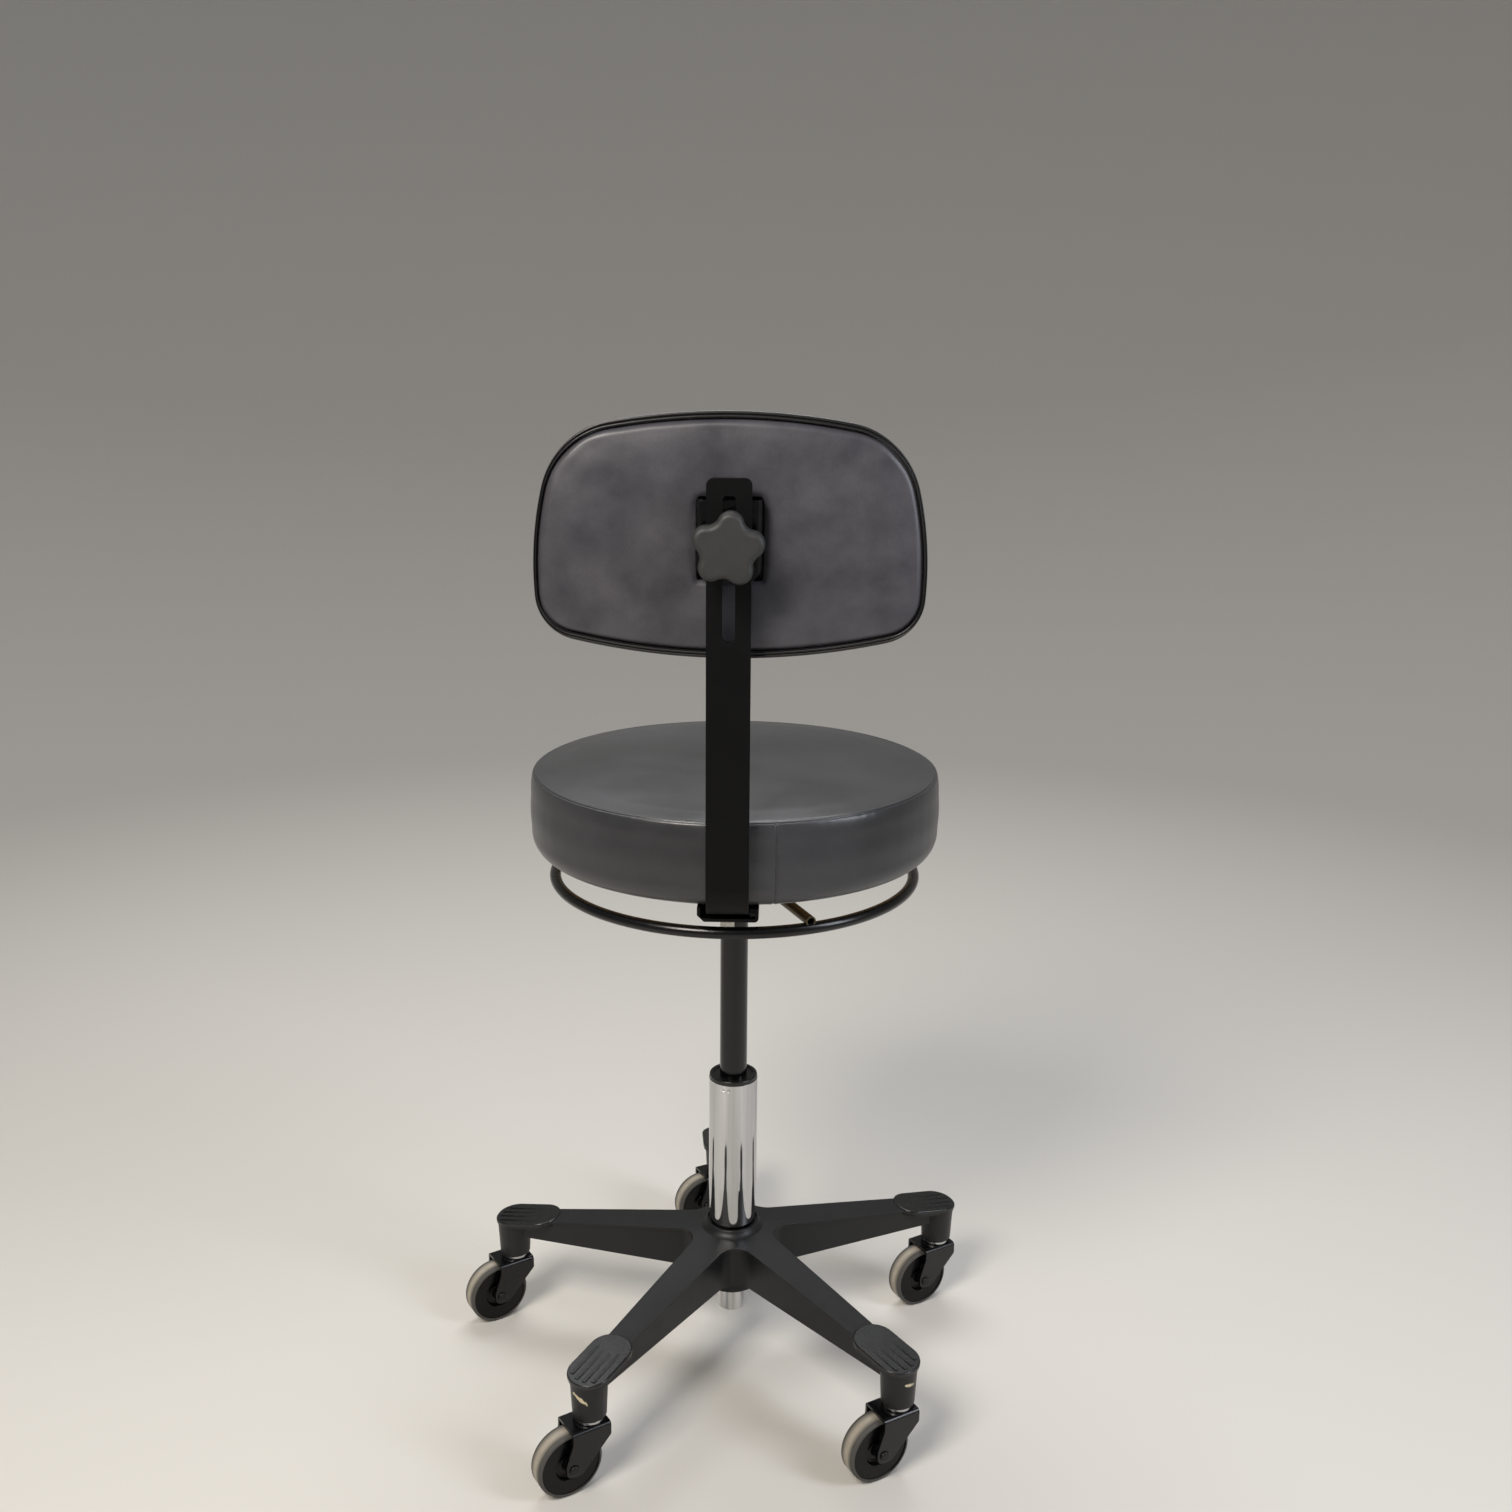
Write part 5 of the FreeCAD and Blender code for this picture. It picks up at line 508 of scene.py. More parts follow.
def swell(piece, held, cap_mm, pressure=4.0, voxel_mm=5.0):
    """Pushes a piece's cover out as stuffing does. held(points) gives 1 where it is fixed and 0 where free.
    Each point's travel t is softened to cap * tanh(t / cap), so that it never passes the cap."""
    scene = bpy.context.scene
    soft = bpy.data.objects.new(piece.name + "_soft", piece.data.copy())
    scene.collection.objects.link(soft)
    even = soft.modifiers.new("even", "REMESH")
    even.mode = "VOXEL"
    even.voxel_size = voxel_mm * MM
    bpy.context.view_layer.update()
    soft.data = bpy.data.meshes.new_from_object(soft.evaluated_get(bpy.context.evaluated_depsgraph_get()))
    soft.modifiers.clear()
    pins = soft.vertex_groups.new(name="pins")
    pins.add(np.flatnonzero(held(corners_of(soft)) > 0.5).tolist(), 1.0, "REPLACE")
    cover = soft.modifiers.new("cover", "CLOTH")
    cover.settings.use_pressure = True
    cover.settings.uniform_pressure_force = pressure
    cover.settings.vertex_group_mass = "pins"
    cover.settings.effector_weights.gravity = 0
    cover.settings.tension_stiffness = 25
    cover.settings.compression_stiffness = 25
    cover.settings.bending_stiffness = 3
    cover.point_cache.frame_start, cover.point_cache.frame_end = 1, SETTLE_FRAMES
    for moment in range(1, SETTLE_FRAMES + 1):
        scene.frame_set(moment)
    soft.data = bpy.data.meshes.new_from_object(soft.evaluated_get(bpy.context.evaluated_depsgraph_get()))
    soft.modifiers.clear()
    scene.frame_set(1)
    before = corners_of(piece)
    wrap = piece.modifiers.new("wrap", "SHRINKWRAP")
    wrap.target = soft
    wrap.wrap_method = "NEAREST_SURFACEPOINT"
    bpy.context.view_layer.update()
    wrapped = corners_of(bpy.data.meshes.new_from_object(
        piece.evaluated_get(bpy.context.evaluated_depsgraph_get())))
    piece.modifiers.clear()
    travel = (wrapped - before) * (1 - held(before))[:, None]
    length = np.linalg.norm(travel, axis=1, keepdims=True) + 1e-9
    capped = travel * (cap_mm * MM * np.tanh(length / (cap_mm * MM)) / length)
    count = len(soft.data.vertices)
    bpy.data.objects.remove(soft)
    print(piece.name, "swelled:", count, "cloth points, mean", round(float(length.mean()) / MM, 2), "mm")
    return capped


def smoothed(values, times):
    """Averages each grid point with its four neighbours, round the columns and along the rows."""
    for _ in range(times):
        wide = np.concatenate([values[:1], values, values[-1:]], axis=0)
        values = (wide[:-2] + wide[2:] + 2 * values + np.roll(values, 1, 1) + np.roll(values, -1, 1)) / 6
    return values


# %% [markdown]
# ## The seat cushion
# A round disc of foam sits on a plywood board. A top panel and a side band are sewn together in a seam
# just inside the upper edge. The band is pulled down over the foam and stapled under the board, so it
# bulges a little half-way and tucks in at the bottom. It is a turned shape, so a radius and a height for
# each step of the profile, carried round the axis, give the whole of it.

# %% Seat profile
BOARD_EDGE, BOARD_ROOF = 177.2, 582.2
SEAT_BOTTOM, SEAM_RADIUS, SEAM_HEIGHT, CROWN = 570.7, 195.5, 648.0, 653.8
ROLL_FOOT, BAND_RADIUS, BAND_BULGE = 632.0, 199.0, 0.9
TUCK_RADIUS, TUCK_WIDTH, TUCK_HEIGHT = 183.0, 16.0, 19.0
POLE_RADIUS = 4.0


def seat_profile():
    """Radius and height in mm along the cover: up the recess for the board, out along the bottom, round
    the tuck, up the band, over the roll to the seam, and in to the crown. The roll is a quarter ellipse,
    and the top panel rises with the square root of a cosine, so it is flattest at the middle."""
    roof = steps(POLE_RADIUS, 10, BOARD_EDGE - 2)
    wall = steps(BOARD_ROOF, 3, SEAT_BOTTOM)
    turn = steps(-90.0, 12, 0.0) * math.pi / 180
    under = steps(BOARD_EDGE + 1, 3, TUCK_RADIUS)
    tuck = np.stack([TUCK_RADIUS + TUCK_WIDTH * np.cos(turn),
                     SEAT_BOTTOM + TUCK_HEIGHT + TUCK_HEIGHT * np.sin(turn)], -1)
    rise = steps(SEAT_BOTTOM + TUCK_HEIGHT + 2.5, 12, ROLL_FOOT - 2)
    up_share = (rise - rise[0]) / (rise[-1] - rise[0])
    band = np.stack([BAND_RADIUS + BAND_BULGE * np.sin(up_share * math.pi) ** 2, rise], -1)
    lean = steps(0.0, 12, 90.0) * math.pi / 180
    roll = np.stack([SEAM_RADIUS + (BAND_RADIUS - SEAM_RADIUS) * np.cos(lean),
                     ROLL_FOOT + (SEAM_HEIGHT - ROLL_FOOT) * np.sin(lean)], -1)
    inward = steps(SEAM_RADIUS - 0.5, 10, SEAM_RADIUS - 6.0, 10, 170.0, 22, POLE_RADIUS)
    share = 1 - inward / SEAM_RADIUS
    dome = np.sin(np.sqrt(share) * math.pi / 2) ** 1.2
    top = np.stack([inward, SEAM_HEIGHT + (CROWN - SEAM_HEIGHT) * dome], -1)
    return np.concatenate([
        np.stack([roof, np.full_like(roof, BOARD_ROOF)], -1),
        np.stack([np.full_like(wall, BOARD_EDGE), wall], -1),
        np.stack([under, np.full_like(under, SEAT_BOTTOM)], -1), tuck, band, roll, top])


profile = seat_profile()
print("seat profile:", len(profile), "steps")

# %% [markdown]
# The band's ends meet in one upright seam at the rear, a little to the right of the bar. More columns of
# the grid go there, so the seam's narrow valley has squares small enough to show it.

# %% Seat grid
BAND_SEAM = math.radians(90 + 12.1)
around = np.unique(np.concatenate([
    np.linspace(0, math.tau, 380, endpoint=False), BAND_SEAM + np.radians(np.linspace(-1.6, 1.6, 41))]))


def turned(profile_mm, angles):
    """Each (radius, height) step carried round the axis: x = r cos a, y = r sin a, z = height."""
    radius, height = profile_mm[:, 0, None] * MM, profile_mm[:, 1, None] * MM
    return np.stack([radius * np.cos(angles), radius * np.sin(angles), height + 0 * angles], -1)


seat_grid = turned(profile, around)
seat = grid_mesh("seat_cover", seat_grid, close_rows=False, poles=True)


def seat_held(points):
    """The board holds the recess, and the sewn top seam holds its ring."""
    radius, height = np.hypot(points[:, 0], points[:, 1]) / MM, points[:, 2] / MM
    under_board = (radius < 181) & (height < 584)
    bottom = height < 573
    seam = (np.abs(radius - SEAM_RADIUS) < 3) & (np.abs(height - SEAM_HEIGHT) < 3)
    return (under_board | bottom | seam).astype(float)


travel = swell(seat, seat_held, cap_mm=3.0)[:-2].reshape(seat_grid.shape)
seat_grid = seat_grid + smoothed(travel, 12)
print("seat cover:", seat_grid.shape, "volume", round(volume_of(seat)), "cm3")

# %% [markdown]
# Now the sewing. A seam is a narrow valley, and the cover beside it puckers in small ripples that die
# away within a centimetre. Both are added along the cover's own outward direction. A few shallow dents
# and long soft ripples in the band and the top keep a hand-made cover from looking turned on a lathe.

# %% Seat seams and ripples
def valley(distance_mm, width_mm):
    """A bell-shaped notch: 1 on the line, and gone at about twice the width."""
    return np.exp(-(distance_mm / width_mm) ** 2)


def outward(grid):
    """Unit normals of a grid, from the cross product of its steps along the rows and round the columns."""
    along = np.gradient(grid, axis=0)
    across = np.roll(grid, -1, 1) - np.roll(grid, 1, 1)
    normal = np.cross(across, along)
    return normal / (np.linalg.norm(normal, axis=-1, keepdims=True) + 1e-12)


height = profile[:, 1, None]
radius = profile[:, 0, None]
along_profile = np.concatenate([[0], np.cumsum(np.linalg.norm(np.diff(profile, axis=0), axis=1))])[:, None]
first_of_top = int(np.flatnonzero(profile[:, 1] == SEAM_HEIGHT)[-1])
from_seam = along_profile - along_profile[first_of_top]
from_band_seam = 200 * (around[None, :] - BAND_SEAM)
on_band = (from_seam < 0.5) & (along_profile > along_profile[16])
random = np.random.default_rng(4)
phases = random.uniform(0, math.tau, 12)
ripple = sum(np.sin(around[None, :] * turns + phases[k]) / (k + 3)
             for k, turns in enumerate((5, 9, 14, 23, 37, 61)))
puckers = sum(np.sin(around[None, :] * turns + phases[k + 6]) for k, turns in enumerate((131, 173, 97))) / 3
outside = (along_profile > along_profile[18]).astype(float)
across_mm, ahead_mm = seat_grid[..., 0] / MM, seat_grid[..., 1] / MM
hollows = sum(np.sin(across_mm / wide + phases[k]) * np.sin(ahead_mm / (wide * 1.3) + phases[k + 3])
              for k, wide in enumerate((24.0, 37.0, 58.0)))
push = (
    -1.1 * valley(from_seam, 0.9) * outside
    + 0.22 * puckers * valley(from_seam + 2.5, 4.0) * outside
    + 0.35 * ripple * valley(from_seam + 34, 26.0) * outside
    + 0.25 * hollows * (from_seam > 4) * np.clip(radius / 60, 0, 1)
    - 0.8 * valley(from_band_seam, 0.7) * on_band
    + 0.25 * valley(from_band_seam - 2.6, 2.4) * on_band + 0.2 * valley(from_band_seam + 2.8, 2.6) * on_band
    - 0.35 * valley(from_band_seam, 6.0) * valley(from_seam + 4, 5.0) * on_band
)
seat_grid = seat_grid + outward(seat_grid) * (push * MM)[..., None]
seat_points = np.vstack([seat_grid.reshape(-1, 3), seat_grid[0].mean(0), seat_grid[-1].mean(0)])
put_corners(seat, seat_points)
seat.data.materials.append(seat_vinyl)
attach(seat, "seat")
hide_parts("seat_cushion")
print("seat cover:", [round(v, 4) for v in seat_points.min(0)], [round(v, 4) for v in seat_points.max(0)])

# %% [markdown]
# The upright seam is topstitched. Each stitch is a short rounded bead of thread lying on the vinyl. One
# bead is a small turned grid, and adding every stitch's place to it with one broadcast makes them all.

# %% Band stitches
def beads(name, places, along, outwards, length_mm, thick_mm):
    """A bead's sections are rings of radius (thick / 2) * sqrt(1 - t * t) at t * length / 2 along the stitch,
    with t from -1 to 1. places, along and outwards hold one row for each stitch."""
    t = np.array([-0.98, -0.8, -0.4, 0.0, 0.4, 0.8, 0.98])
    turn = np.linspace(0, math.tau, 6, endpoint=False)
    aside = np.cross(along, outwards)
    size = thick_mm / 2 * MM * np.sqrt(1 - t ** 2)
    ring = (aside[:, None, None] * (size[:, None] * np.cos(turn))[None, ..., None]
            + outwards[:, None, None] * (size[:, None] * np.sin(turn))[None, ..., None])
    spine = along[:, None, None] * (t * length_mm / 2 * MM)[None, :, None, None]
    points = (places[:, None, None] + spine + ring).reshape(-1, 3)
    cell = np.arange(len(t) * len(turn)).reshape(len(t), len(turn))
    beside = np.roll(cell, -1, 1)
    one = np.stack([cell[:-1], cell[1:], beside[1:], beside[:-1]], -1).reshape(-1, 4)
    shift = (np.arange(len(places)) * cell.size)[:, None, None]
    faces = (one[None] + shift).reshape(-1, 4).tolist()
    faces += (cell[0][None] + shift[:, 0]).tolist() + (cell[-1][::-1][None] + shift[:, 0]).tolist()
    return new_object(name, points, faces)


column = int(np.argmin(np.abs(200 * (around - BAND_SEAM) - 1.9)))
STITCH_PITCH, STITCH_LENGTH, STITCH_THICKNESS = 3.4, 2.3, 0.9
stitch_height = np.arange(579.0, 642.0, STITCH_PITCH)
line = seat_grid[:first_of_top, column]
line = line[line[:, 2] > 575 * MM]
line = line[np.argsort(line[:, 2])]
stitch_places = np.stack([np.interp(stitch_height * MM, line[:, 2], line[:, k]) for k in range(3)], -1)
up_the_band = np.gradient(stitch_places, axis=0)
up_the_band /= np.linalg.norm(up_the_band, axis=1, keepdims=True)
radial = stitch_places * np.array([1.0, 1.0, 0.0])
radial /= np.linalg.norm(radial, axis=1, keepdims=True)
stitches = beads("seat_band_stitches", stitch_places, up_the_band, radial, STITCH_LENGTH,
                 STITCH_THICKNESS)
stitches.data.materials.append(seam_thread)
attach(stitches, "seat")
print("band stitches:", len(stitch_places), "volume", round(volume_of(stitches), 3), "cm3")

# %% [markdown]
# ## The backrest's outline
# The backrest is a rounded shield: a bowed top and bottom, bowed sides, and four corners that run into
# them without a break. Eight arcs draw it. A corner's centre lies where two circles meet, each drawn
# round a bow's own centre and smaller than it by the corner's radius. Every arc gets the same number of
# steps whatever the inset, so point k on one outline is always beside point k on the next.

# %% Outline of the backrest
TOP, BOTTOM, HALF_WIDTH, WAIST = 993.0, 790.0, 163.2, 862.0
TOP_BOW, SIDE_BOW, BOTTOM_BOW, TOP_CORNER, BOTTOM_CORNER = 560.0, 290.0, 600.0, 72.0, 40.0
TRIM_SIDE, TRIM_END = 2.7, 5.7
BOARD_BACK = 178.0


def meet(first, first_reach, second, second_reach, towards):
    """The point at both distances from two centres, on the side that towards points to."""
    apart = second - first
    gap = np.linalg.norm(apart)
    axis = apart / gap
    along = (gap ** 2 + first_reach ** 2 - second_reach ** 2) / (2 * gap)
    across = math.sqrt(max(first_reach ** 2 - along ** 2, 0.0))
    side = np.array([-axis[1], axis[0]])
    choices = (first + axis * along + side * across, first + axis * along - side * across)
    return max(choices, key=lambda point: float(point @ towards))


def back_outline(side_inset, end_inset):
    """Points (x, z) round the backrest in mm, anticlockwise from its lower right."""
    bows = [(np.array([HALF_WIDTH - SIDE_BOW, WAIST]), SIDE_BOW - side_inset),
            (np.array([0.0, TOP - TOP_BOW]), TOP_BOW - end_inset),
            (np.array([SIDE_BOW - HALF_WIDTH, WAIST]), SIDE_BOW - side_inset),
            (np.array([0.0, BOTTOM + BOTTOM_BOW]), BOTTOM_BOW - end_inset)]
    corner_radius = np.array([TOP_CORNER, TOP_CORNER, BOTTOM_CORNER, BOTTOM_CORNER]) - end_inset
    away = np.array([(1, 1), (-1, 1), (-1, -1), (1, -1)], float)
    centres = [meet(bows[k][0], bows[k][1] - corner_radius[k], bows[(k + 1) % 4][0],
                    bows[(k + 1) % 4][1] - corner_radius[k], away[k]) for k in range(4)]
    points = []
    for k, (centre, reach) in enumerate(bows):
        for middle_point, size_mm, start, end, count in (
                (centre, reach, centres[k - 1] - centre, centres[k] - centre, (26, 72, 26, 76)[k]),
                (centres[k], corner_radius[k], centres[k] - centre, centres[k] - bows[(k + 1) % 4][0],
                 (30, 30, 20, 20)[k])):
            begin = math.atan2(start[1], start[0])
            sweep = (math.atan2(end[1], end[0]) - begin) % math.tau
            angle = begin + sweep * np.arange(count) / count
            heading = np.stack([np.cos(angle), np.sin(angle)], -1)
            points.append(middle_point + size_mm * heading)
    return np.concatenate(points)


rim = back_outline(0, 0)
print("outline:", len(rim), "points, width", round(np.ptp(rim[:, 0]), 1), "height", round(np.ptp(rim[:, 1]), 1))

# %% [markdown]
# ## The rear panel
# A thin board padded and covered in grey vinyl closes the back. Its face is almost flat, swells a little
# between the bracket and the rim, and rolls over at the edge with a pale line of shine. The sheet runs
# round a window where the bracket stands, so its section is a closed loop: window wall, face, rolled
# edge, and back underneath. That section is carried round the outline, as a tyre's is round a wheel.

# %% Rear panel
def window_edge(points, middle_point, half_wide, half_high):
    """Where lines from the window's middle to the outline cross its edge. The edge is a superellipse of
    power 24, which is a rectangle with small round corners."""
    away = points - middle_point
    away = away / np.linalg.norm(away, axis=1, keepdims=True)
    reach = (np.abs(away[:, 0] / half_wide) ** 24 + np.abs(away[:, 1] / half_high) ** 24) ** (-1 / 24)
    return middle_point + away * reach[:, None]


WINDOW_MIDDLE, WINDOW_HALF_WIDTH, WINDOW_HALF_HEIGHT = np.array([0.0, 889.75]), 27.7, 34.5
PANEL_FACE, PANEL_LIP = 11.2, 3.8
panel_rim = back_outline(TRIM_SIDE + 0.4, TRIM_END + 0.4)
window = window_edge(panel_rim, WINDOW_MIDDLE, WINDOW_HALF_WIDTH, WINDOW_HALF_HEIGHT)
span = np.linalg.norm(panel_rim - window, axis=1)


def panel_section():
    """Distance from the rim in mm, or a share of the span counted down from 1 at the window, with the
    height above the board. The edge is a quarter ellipse, and a shallow dip pulls in at the window."""
    lean = np.radians(steps(0.0, 12, 90.0))
    edge = [(6.5 * (1 - math.cos(a)), PANEL_LIP + (PANEL_FACE - PANEL_LIP) * math.sin(a)) for a in lean]
    wall = [(0.0, h) for h in (0.3, 1.5, 2.7)]
    return np.array(wall + edge)


edge_section = panel_section()
shares = np.concatenate([np.linspace(0.0, 1.0, 34)[1:-1], [0.985, 1.0]])
rows = []
for inset, rise in edge_section:
    rows.append((np.minimum(inset / span, 1.0), np.full(len(span), rise)))
start_share = edge_section[-1, 0] / span
for share in shares:
    at = start_share + (1 - start_share) * share
    rise = PANEL_FACE + 0.9 * math.sin(math.pi * share) - 1.9 * math.exp(-((1 - share) / 0.035) ** 2)
    rows.append((at, np.full(len(span), rise)))
for rise in (6.0, 2.5, 0.3):
    rows.append((np.ones(len(span)), np.full(len(span), rise)))
for share in (0.9, 0.7, 0.5, 0.3, 0.1):
    rows.append((np.full(len(span), share), np.full(len(span), 0.3)))
across = np.array([r[0] for r in rows])
rise = np.array([r[1] for r in rows])
flat = panel_rim[None] + (window - panel_rim)[None] * across[..., None]
panel_grid = np.stack([flat[..., 0], BOARD_BACK + rise, flat[..., 1]], -1) * MM
panel = grid_mesh("rear_panel_cover", panel_grid, close_rows=True)


def panel_held(points):
    """The board holds the front, and the bracket and the sewn rim hold the edges."""
    return (points[:, 1] < (BOARD_BACK + 5.0) * MM).astype(float)


if volume_of(panel) < 0:
    panel.data.flip_normals()
travel = swell(panel, panel_held, cap_mm=1.4, pressure=3.0, voxel_mm=4.0).reshape(panel_grid.shape)
panel_grid = panel_grid + smoothed(travel, 20) * (rise > 4)[..., None]
side_mm, up_mm = panel_grid[..., 0] / MM, panel_grid[..., 2] / MM
dents = sum(np.sin(side_mm / w + phases[k]) * np.sin(up_mm / (w * 0.8) + phases[k + 2])
            for k, w in enumerate((31.0, 19.0, 47.0))) / 3
panel_grid[..., 1] += 0.35 * MM * dents * (rise > 11)
put_corners(panel, panel_grid)
panel.data.materials.append(back_vinyl)
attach(panel, "backrest")
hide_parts("rear_pad")
print("rear panel:", panel_grid.shape, "volume", round(volume_of(panel)), "cm3")

# %% [markdown]
# ## The double welt
# Round the edge runs a black double welt: two cords under one strip of vinyl, with a fine sewn line
# between them. It is as wide as the gap between the outline and the rear panel, which is 6 mm at the top
# and bottom but only 3 mm at the sides, so its section is written as a share of the local width.

# %% Double welt
inner_rim = back_outline(TRIM_SIDE, TRIM_END)


def welt_section():
    """Share of the local width and the place from front to back in mm. Two half-circle beads stand on the
    rear edge, and the outer face has a flat band and a small lip, closed by a plain inner face."""
    turn = np.radians(np.linspace(180, 0, 9))
    outer_bead = [(0.27 + 0.27 * math.cos(a), 184.6 + 2.0 * math.sin(a)) for a in turn]
    inner_bead = [(0.77 + 0.22 * math.cos(a), 185.6 + 2.2 * math.sin(a)) for a in turn]
    outer_face = [(0.10, 166.3), (0.02, 167.2), (0.0, 169.5), (0.04, 173.0), (0.0, 176.5), (0.05, 180.5),
                  (0.03, 182.6)]
    inner_face = [(0.995, 182.0), (0.995, 174.0), (0.995, 166.6), (0.9, 166.3), (0.5, 166.3)]
    return np.array(outer_face + outer_bead + [(0.55, 184.0)] + inner_bead + inner_face)


welt_profile = welt_section()
flat = rim[None] + (inner_rim - rim)[None] * welt_profile[:, 0, None, None]
depth = np.broadcast_to(welt_profile[:, 1, None], flat.shape[:2])
welt_grid = np.stack([flat[..., 0], depth, flat[..., 1]], -1) * MM
welt = grid_mesh("double_welt", welt_grid, close_rows=True)
if volume_of(welt) < 0:
    welt.data.flip_normals()
welt.data.materials.append(trim_vinyl)
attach(welt, "backrest")
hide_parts("edge_trim")
print("double welt:", welt_grid.shape, "volume", round(volume_of(welt), 1), "cm3")

# %% [markdown]
# ## The front cushion
# The sitter's side is a softer cushion of the same outline. Its back lies on the board. Its front is
# crowned, with a front panel sewn to a narrow side band, so the sides puff out between the seam and the
# board. Rows of the grid shrink the outline towards its middle, and poles close both faces.

# %% Front cushion
cushion_rim = back_outline(2.4, 2.4)
BOARD_FRONT = 165.6
middle_of_back = np.array([0.0, 888.0])


def cushion_section():
    """Share of the way from the middle to the rim, and the depth in mm forward of the board. The face is
    crowned as (1 - share^4), the seam sits where share is 0.965, and the side band bulges to share 1."""
    back_rows = [(s, 0.0) for s in (0.03, 0.3, 0.6, 0.85, 0.95)]
    foot = [(0.975, 0.4), (0.985, 1.6), (0.992, 4.0)]
    sides = [(0.992 + 0.008 * math.sin(math.pi * t), 4.0 + 17.0 * t) for t in np.linspace(0.1, 1, 10)]
    lean = np.radians(np.linspace(10, 90, 10))
    roll = [(0.965 + 0.027 * math.cos(a), 21.0 + 5.5 * math.sin(a)) for a in lean]
    face = [(s, 26.8 + 6.6 * (1 - (s / 0.965) ** 3.2)) for s in
            np.concatenate([np.linspace(0.961, 0.93, 9), np.linspace(0.92, 0.05, 26)])]
    return np.array(back_rows + foot + sides + roll + face)


cushion_profile = cushion_section()
flat = middle_of_back + (cushion_rim - middle_of_back)[None] * cushion_profile[:, 0, None, None]
depth = np.broadcast_to(cushion_profile[:, 1, None], flat.shape[:2])
cushion_grid = np.stack([flat[..., 0], BOARD_FRONT - depth, flat[..., 1]], -1) * MM
cushion = grid_mesh("front_cushion_cover", cushion_grid, close_rows=False, poles=True)
if volume_of(cushion) < 0:
    cushion.data.flip_normals()


def cushion_held(points):
    """The board holds the back of the cushion."""
    return (points[:, 1] > (BOARD_FRONT - 2.0) * MM).astype(float)


travel = swell(cushion, cushion_held, cap_mm=2.5, pressure=3.0)[:-2].reshape(cushion_grid.shape)
cushion_grid = cushion_grid + smoothed(travel, 12)
seam_row = int(np.flatnonzero(cushion_profile[:, 1] > 26.4)[0])
seam_notch = valley(np.arange(len(cushion_profile))[:, None] - seam_row, 0.8)
turns = np.arange(len(cushion_rim))[None, :] / len(cushion_rim) * math.tau
gathers = np.sin(turns * 97 + 1.0) + np.sin(turns * 61 + 2.0)
near_seam = valley(np.arange(len(cushion_profile))[:, None] - seam_row - 4, 4.0)
shift = (-1.2 * seam_notch + 0.12 * gathers * near_seam) * MM
normal = outward(cushion_grid)
facing = np.sign(np.sum(normal[-1] * np.array([0.0, -1.0, 0.0])))
cushion_grid = cushion_grid + normal * facing * (shift * (cushion_profile[:, 1, None] > 1))[..., None]
poles = (cushion_grid[0].mean(0), cushion_grid[-1].mean(0))
put_corners(cushion, np.vstack([cushion_grid.reshape(-1, 3), *poles]))
cushion.data.materials.append(back_vinyl)
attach(cushion, "backrest")
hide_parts("front_cushion")
print("front cushion:", cushion_grid.shape, "volume", round(volume_of(cushion)), "cm3")

# %% [markdown]
# ## The paper label
# A plain white paper label is stuck round the black gas stage just below the seat. It is a patch of a
# cylinder a tenth of a millimetre larger than the stage, left blank, with one corner lifted and frayed.

# %% Paper label
LABEL_FOOT, LABEL_HEIGHT, LABEL_RADIUS, CORNER_LIFT = 480.5, 25.5, 14.12, 1.4


def label_patch():
    """A patch x = r cos a, y = r sin a for angles about the rear and heights up the stage. The radius grows
    with the square of the closeness to one corner, which lifts it."""
    angles = np.radians(np.linspace(8, 92, 43))
    heights = np.linspace(LABEL_FOOT, LABEL_FOOT + LABEL_HEIGHT, 18)
    a, z = np.meshgrid(angles, heights)
    corner = np.clip((a - angles[0]) / (angles[-1] - angles[0]) + (z - heights[0]) / 25.0 - 1.35, 0, 1)
    radius_mm = LABEL_RADIUS + CORNER_LIFT * corner ** 2
    ragged = 0.5 * np.sin(a * 60) * (z == heights[-1])
    outer = np.stack([radius_mm * np.cos(a), radius_mm * np.sin(a), z + ragged], -1)
    return outer * MM


patch = label_patch()
rows_count, columns_count = patch.shape[:2]
index = np.arange(rows_count * columns_count).reshape(rows_count, columns_count)
faces = np.stack([index[:-1, :-1], index[:-1, 1:], index[1:, 1:], index[1:, :-1]], -1).reshape(-1, 4).tolist()
label = new_object("stage_label", patch.reshape(-1, 3), faces)
thick = label.modifiers.new("paper", "SOLIDIFY")
thick.thickness = 0.1 * MM
thick.offset = 1
label_paper = moulded("label_paper_white", "#cfcdc6", "#e6e4dd", 0.72, 1.2, 0.03, clouds_mm=8)
label.data.materials.append(label_paper)
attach(label, "seat")
print("label:", rows_count * columns_count, "points")

# %% [markdown]
# ## Studio
# A pale floor runs out flat and then curves up on all sides like a shallow bowl, so no edge shows from
# any side. One large soft light stands high on each side behind the chair's back, a third above.

# %% Floor
FLAT_REACH, FLOOR_REACH = 2.6, 6.5


def studio_bowl():
    """Height of the floor at radius r: flat at first, then rising as the square of the distance beyond."""
    reach = steps(0.05, 12, FLAT_REACH, 30, FLOOR_REACH)
    climb = np.where(reach > FLAT_REACH, 0.32 * np.maximum(reach - FLAT_REACH, 0) ** 2, 0.0)
    angles = np.linspace(0, math.tau, 128, endpoint=False)
    return np.stack([reach[:, None] * np.cos(angles), reach[:, None] * np.sin(angles),
                     np.broadcast_to(climb[:, None], (len(reach), 128))], -1)


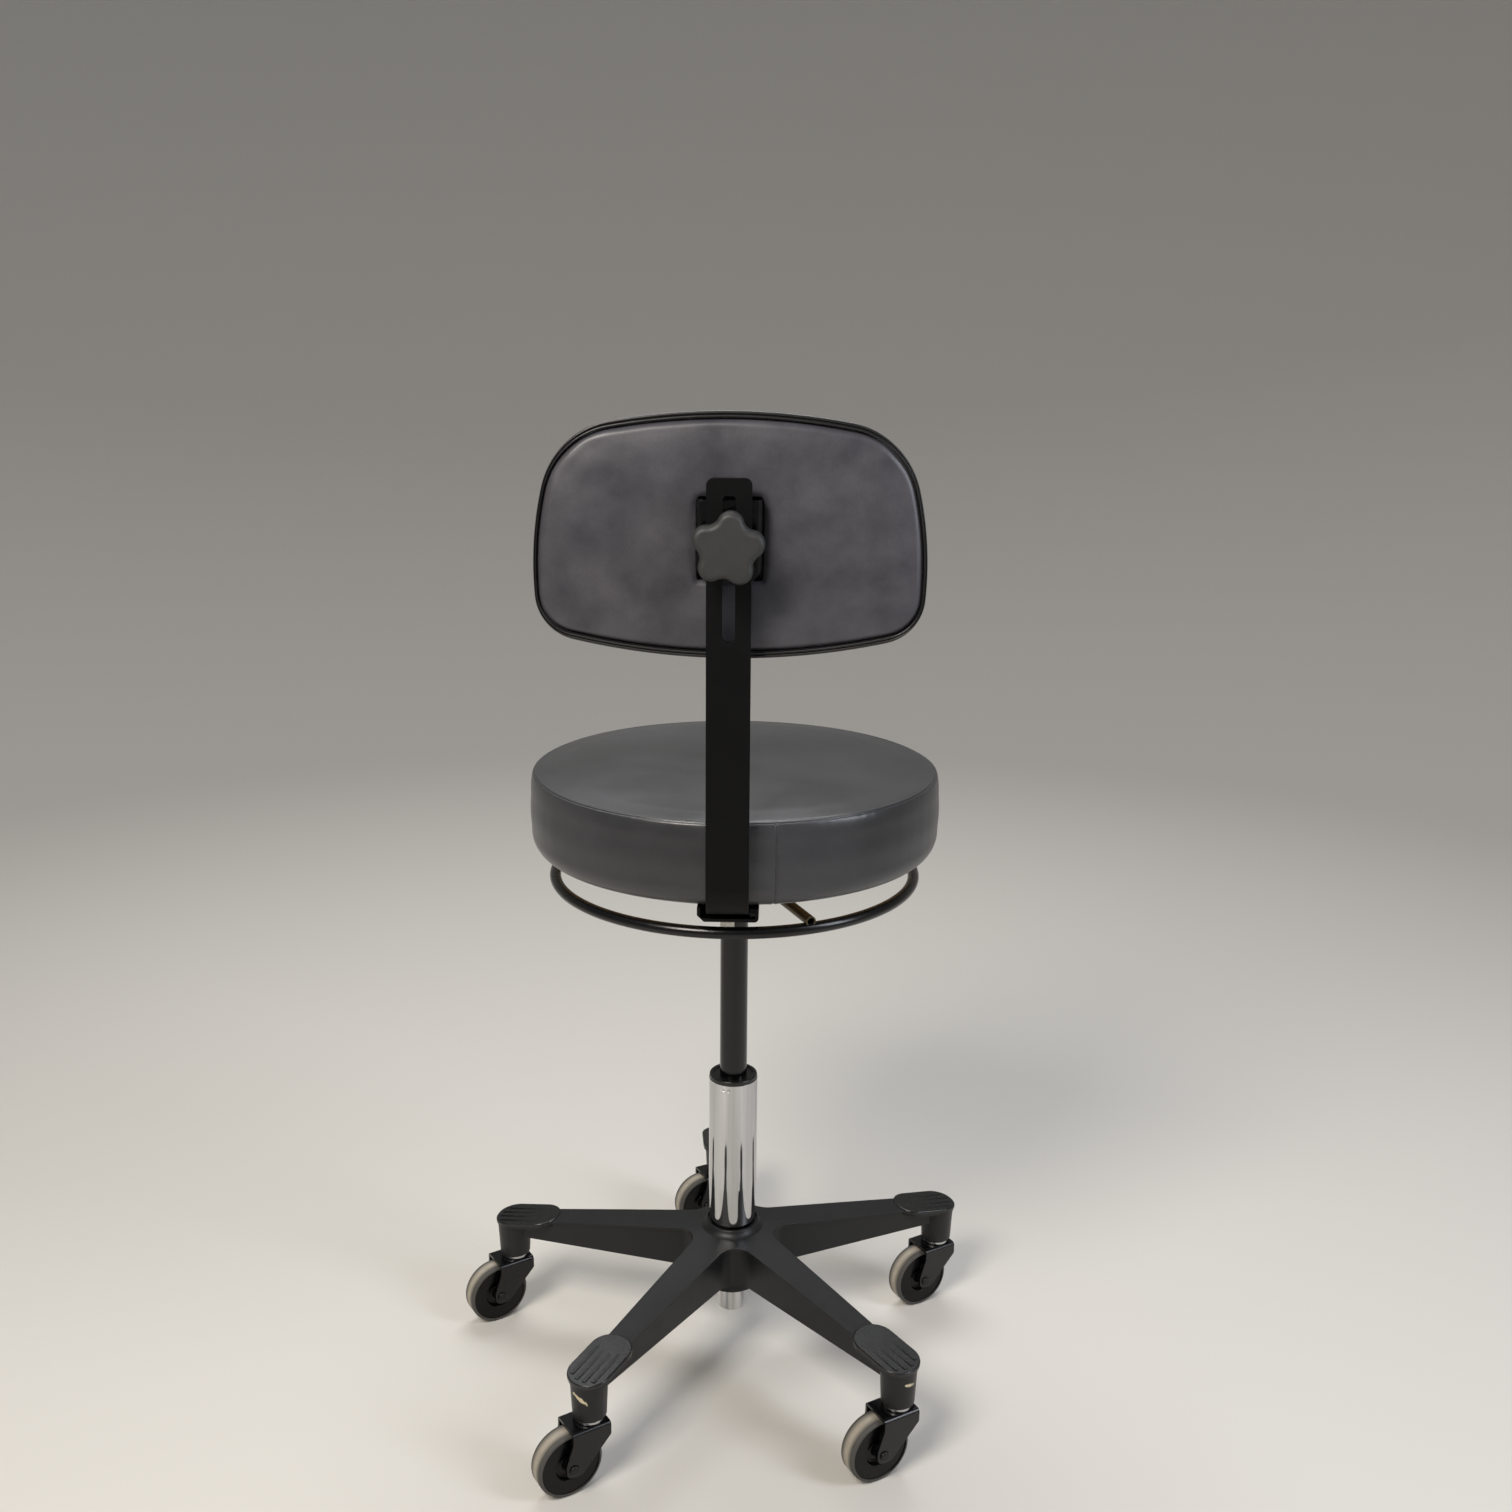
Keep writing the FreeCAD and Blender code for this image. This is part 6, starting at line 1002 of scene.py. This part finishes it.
bowl = studio_bowl()
rows_count, columns_count = bowl.shape[:2]
index = np.arange(rows_count * columns_count).reshape(rows_count, columns_count)
beside = np.roll(index, -1, 1)
faces = np.stack([index[:-1], index[1:], beside[1:], beside[:-1]], -1).reshape(-1, 4).tolist()
faces.append(index[0].tolist())
floor = new_object("studio_floor", bowl.reshape(-1, 3), faces)
floor_paint = new_material("studio_floor_matt", Roughness=0.75, Base_Color=paint("#cfccc6"))
floor.data.materials.append(floor_paint[0])
floor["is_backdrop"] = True
print("floor:", len(faces), "faces")

# %% Lights and sky
def soft_light(name, place, target, wide, high, watts, colour="#ffffff"):
    """A rectangular area light at place, facing target."""
    lamp = bpy.data.lights.new(name, "AREA")
    lamp.shape = "RECTANGLE"
    lamp.size, lamp.size_y = wide, high
    lamp.energy = watts
    lamp.color = paint(colour)[:3]
    holder = bpy.data.objects.new(name, lamp)
    holder.location = place
    holder.rotation_euler = (Vector(target) - Vector(place)).to_track_quat("-Z", "Y").to_euler()
    bpy.context.scene.collection.objects.link(holder)
    return holder


soft_light("key_left", (0.85, 1.55, 2.15), (0.0, 0.1, 0.6), 0.8, 0.9, 52, "#fff8ee")
soft_light("fill_right", (-1.9, 0.9, 1.6), (0.0, 0.0, 0.5), 0.6, 1.4, 26, "#eef3ff")
soft_light("top_front", (0.2, -1.2, 2.6), (0.0, 0.0, 0.6), 1.8, 1.0, 32)
sky = bpy.data.worlds.new("soft_studio_sky")
sky.use_nodes = True
sky.node_tree.nodes["Background"].inputs["Color"].default_value = paint("#dfe2e6")
sky.node_tree.nodes["Background"].inputs["Strength"].default_value = 0.30
bpy.context.scene.world = sky
print("lights: 3")

# %% [markdown]
# ## Camera
# The camera stands behind the chair, a little above the seat, and looks slightly down. Its three axes
# are worked out from a heading, a pitch and a very small roll, and written as the columns of a matrix.

# %% Camera
heading_angle, pitch, roll = math.radians(0.95), math.radians(14.37), math.radians(0.59)
forward = Vector((math.sin(heading_angle) * math.cos(pitch), -math.cos(heading_angle) * math.cos(pitch),
                  -math.sin(pitch)))
right = Vector((-math.cos(heading_angle), -math.sin(heading_angle), 0.0))
up = right.cross(forward)
tilted_right = right * math.cos(roll) + up * math.sin(roll)
tilted_up = up * math.cos(roll) - right * math.sin(roll)
camera = bpy.data.objects.new("camera", bpy.data.cameras.new("camera"))
bpy.context.scene.collection.objects.link(camera)
camera.matrix_world = Matrix.Translation((-0.0439, 1.4360, 1.0262)) @ Matrix(
    (tilted_right, tilted_up, -forward)).transposed().to_4x4()
camera.data.sensor_width = 36.0
camera.data.lens = 36.05
bpy.context.scene.camera = camera
bpy.context.scene.view_settings.view_transform = "Standard"
print("camera forward:", [round(v, 3) for v in forward])

# %% [markdown]
# ## Sizes
# The box of the finished object is printed.

# %% Sizes and finish
low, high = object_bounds()
print("visual box:", [round(v, 4) for v in low], [round(v, 4) for v in high])
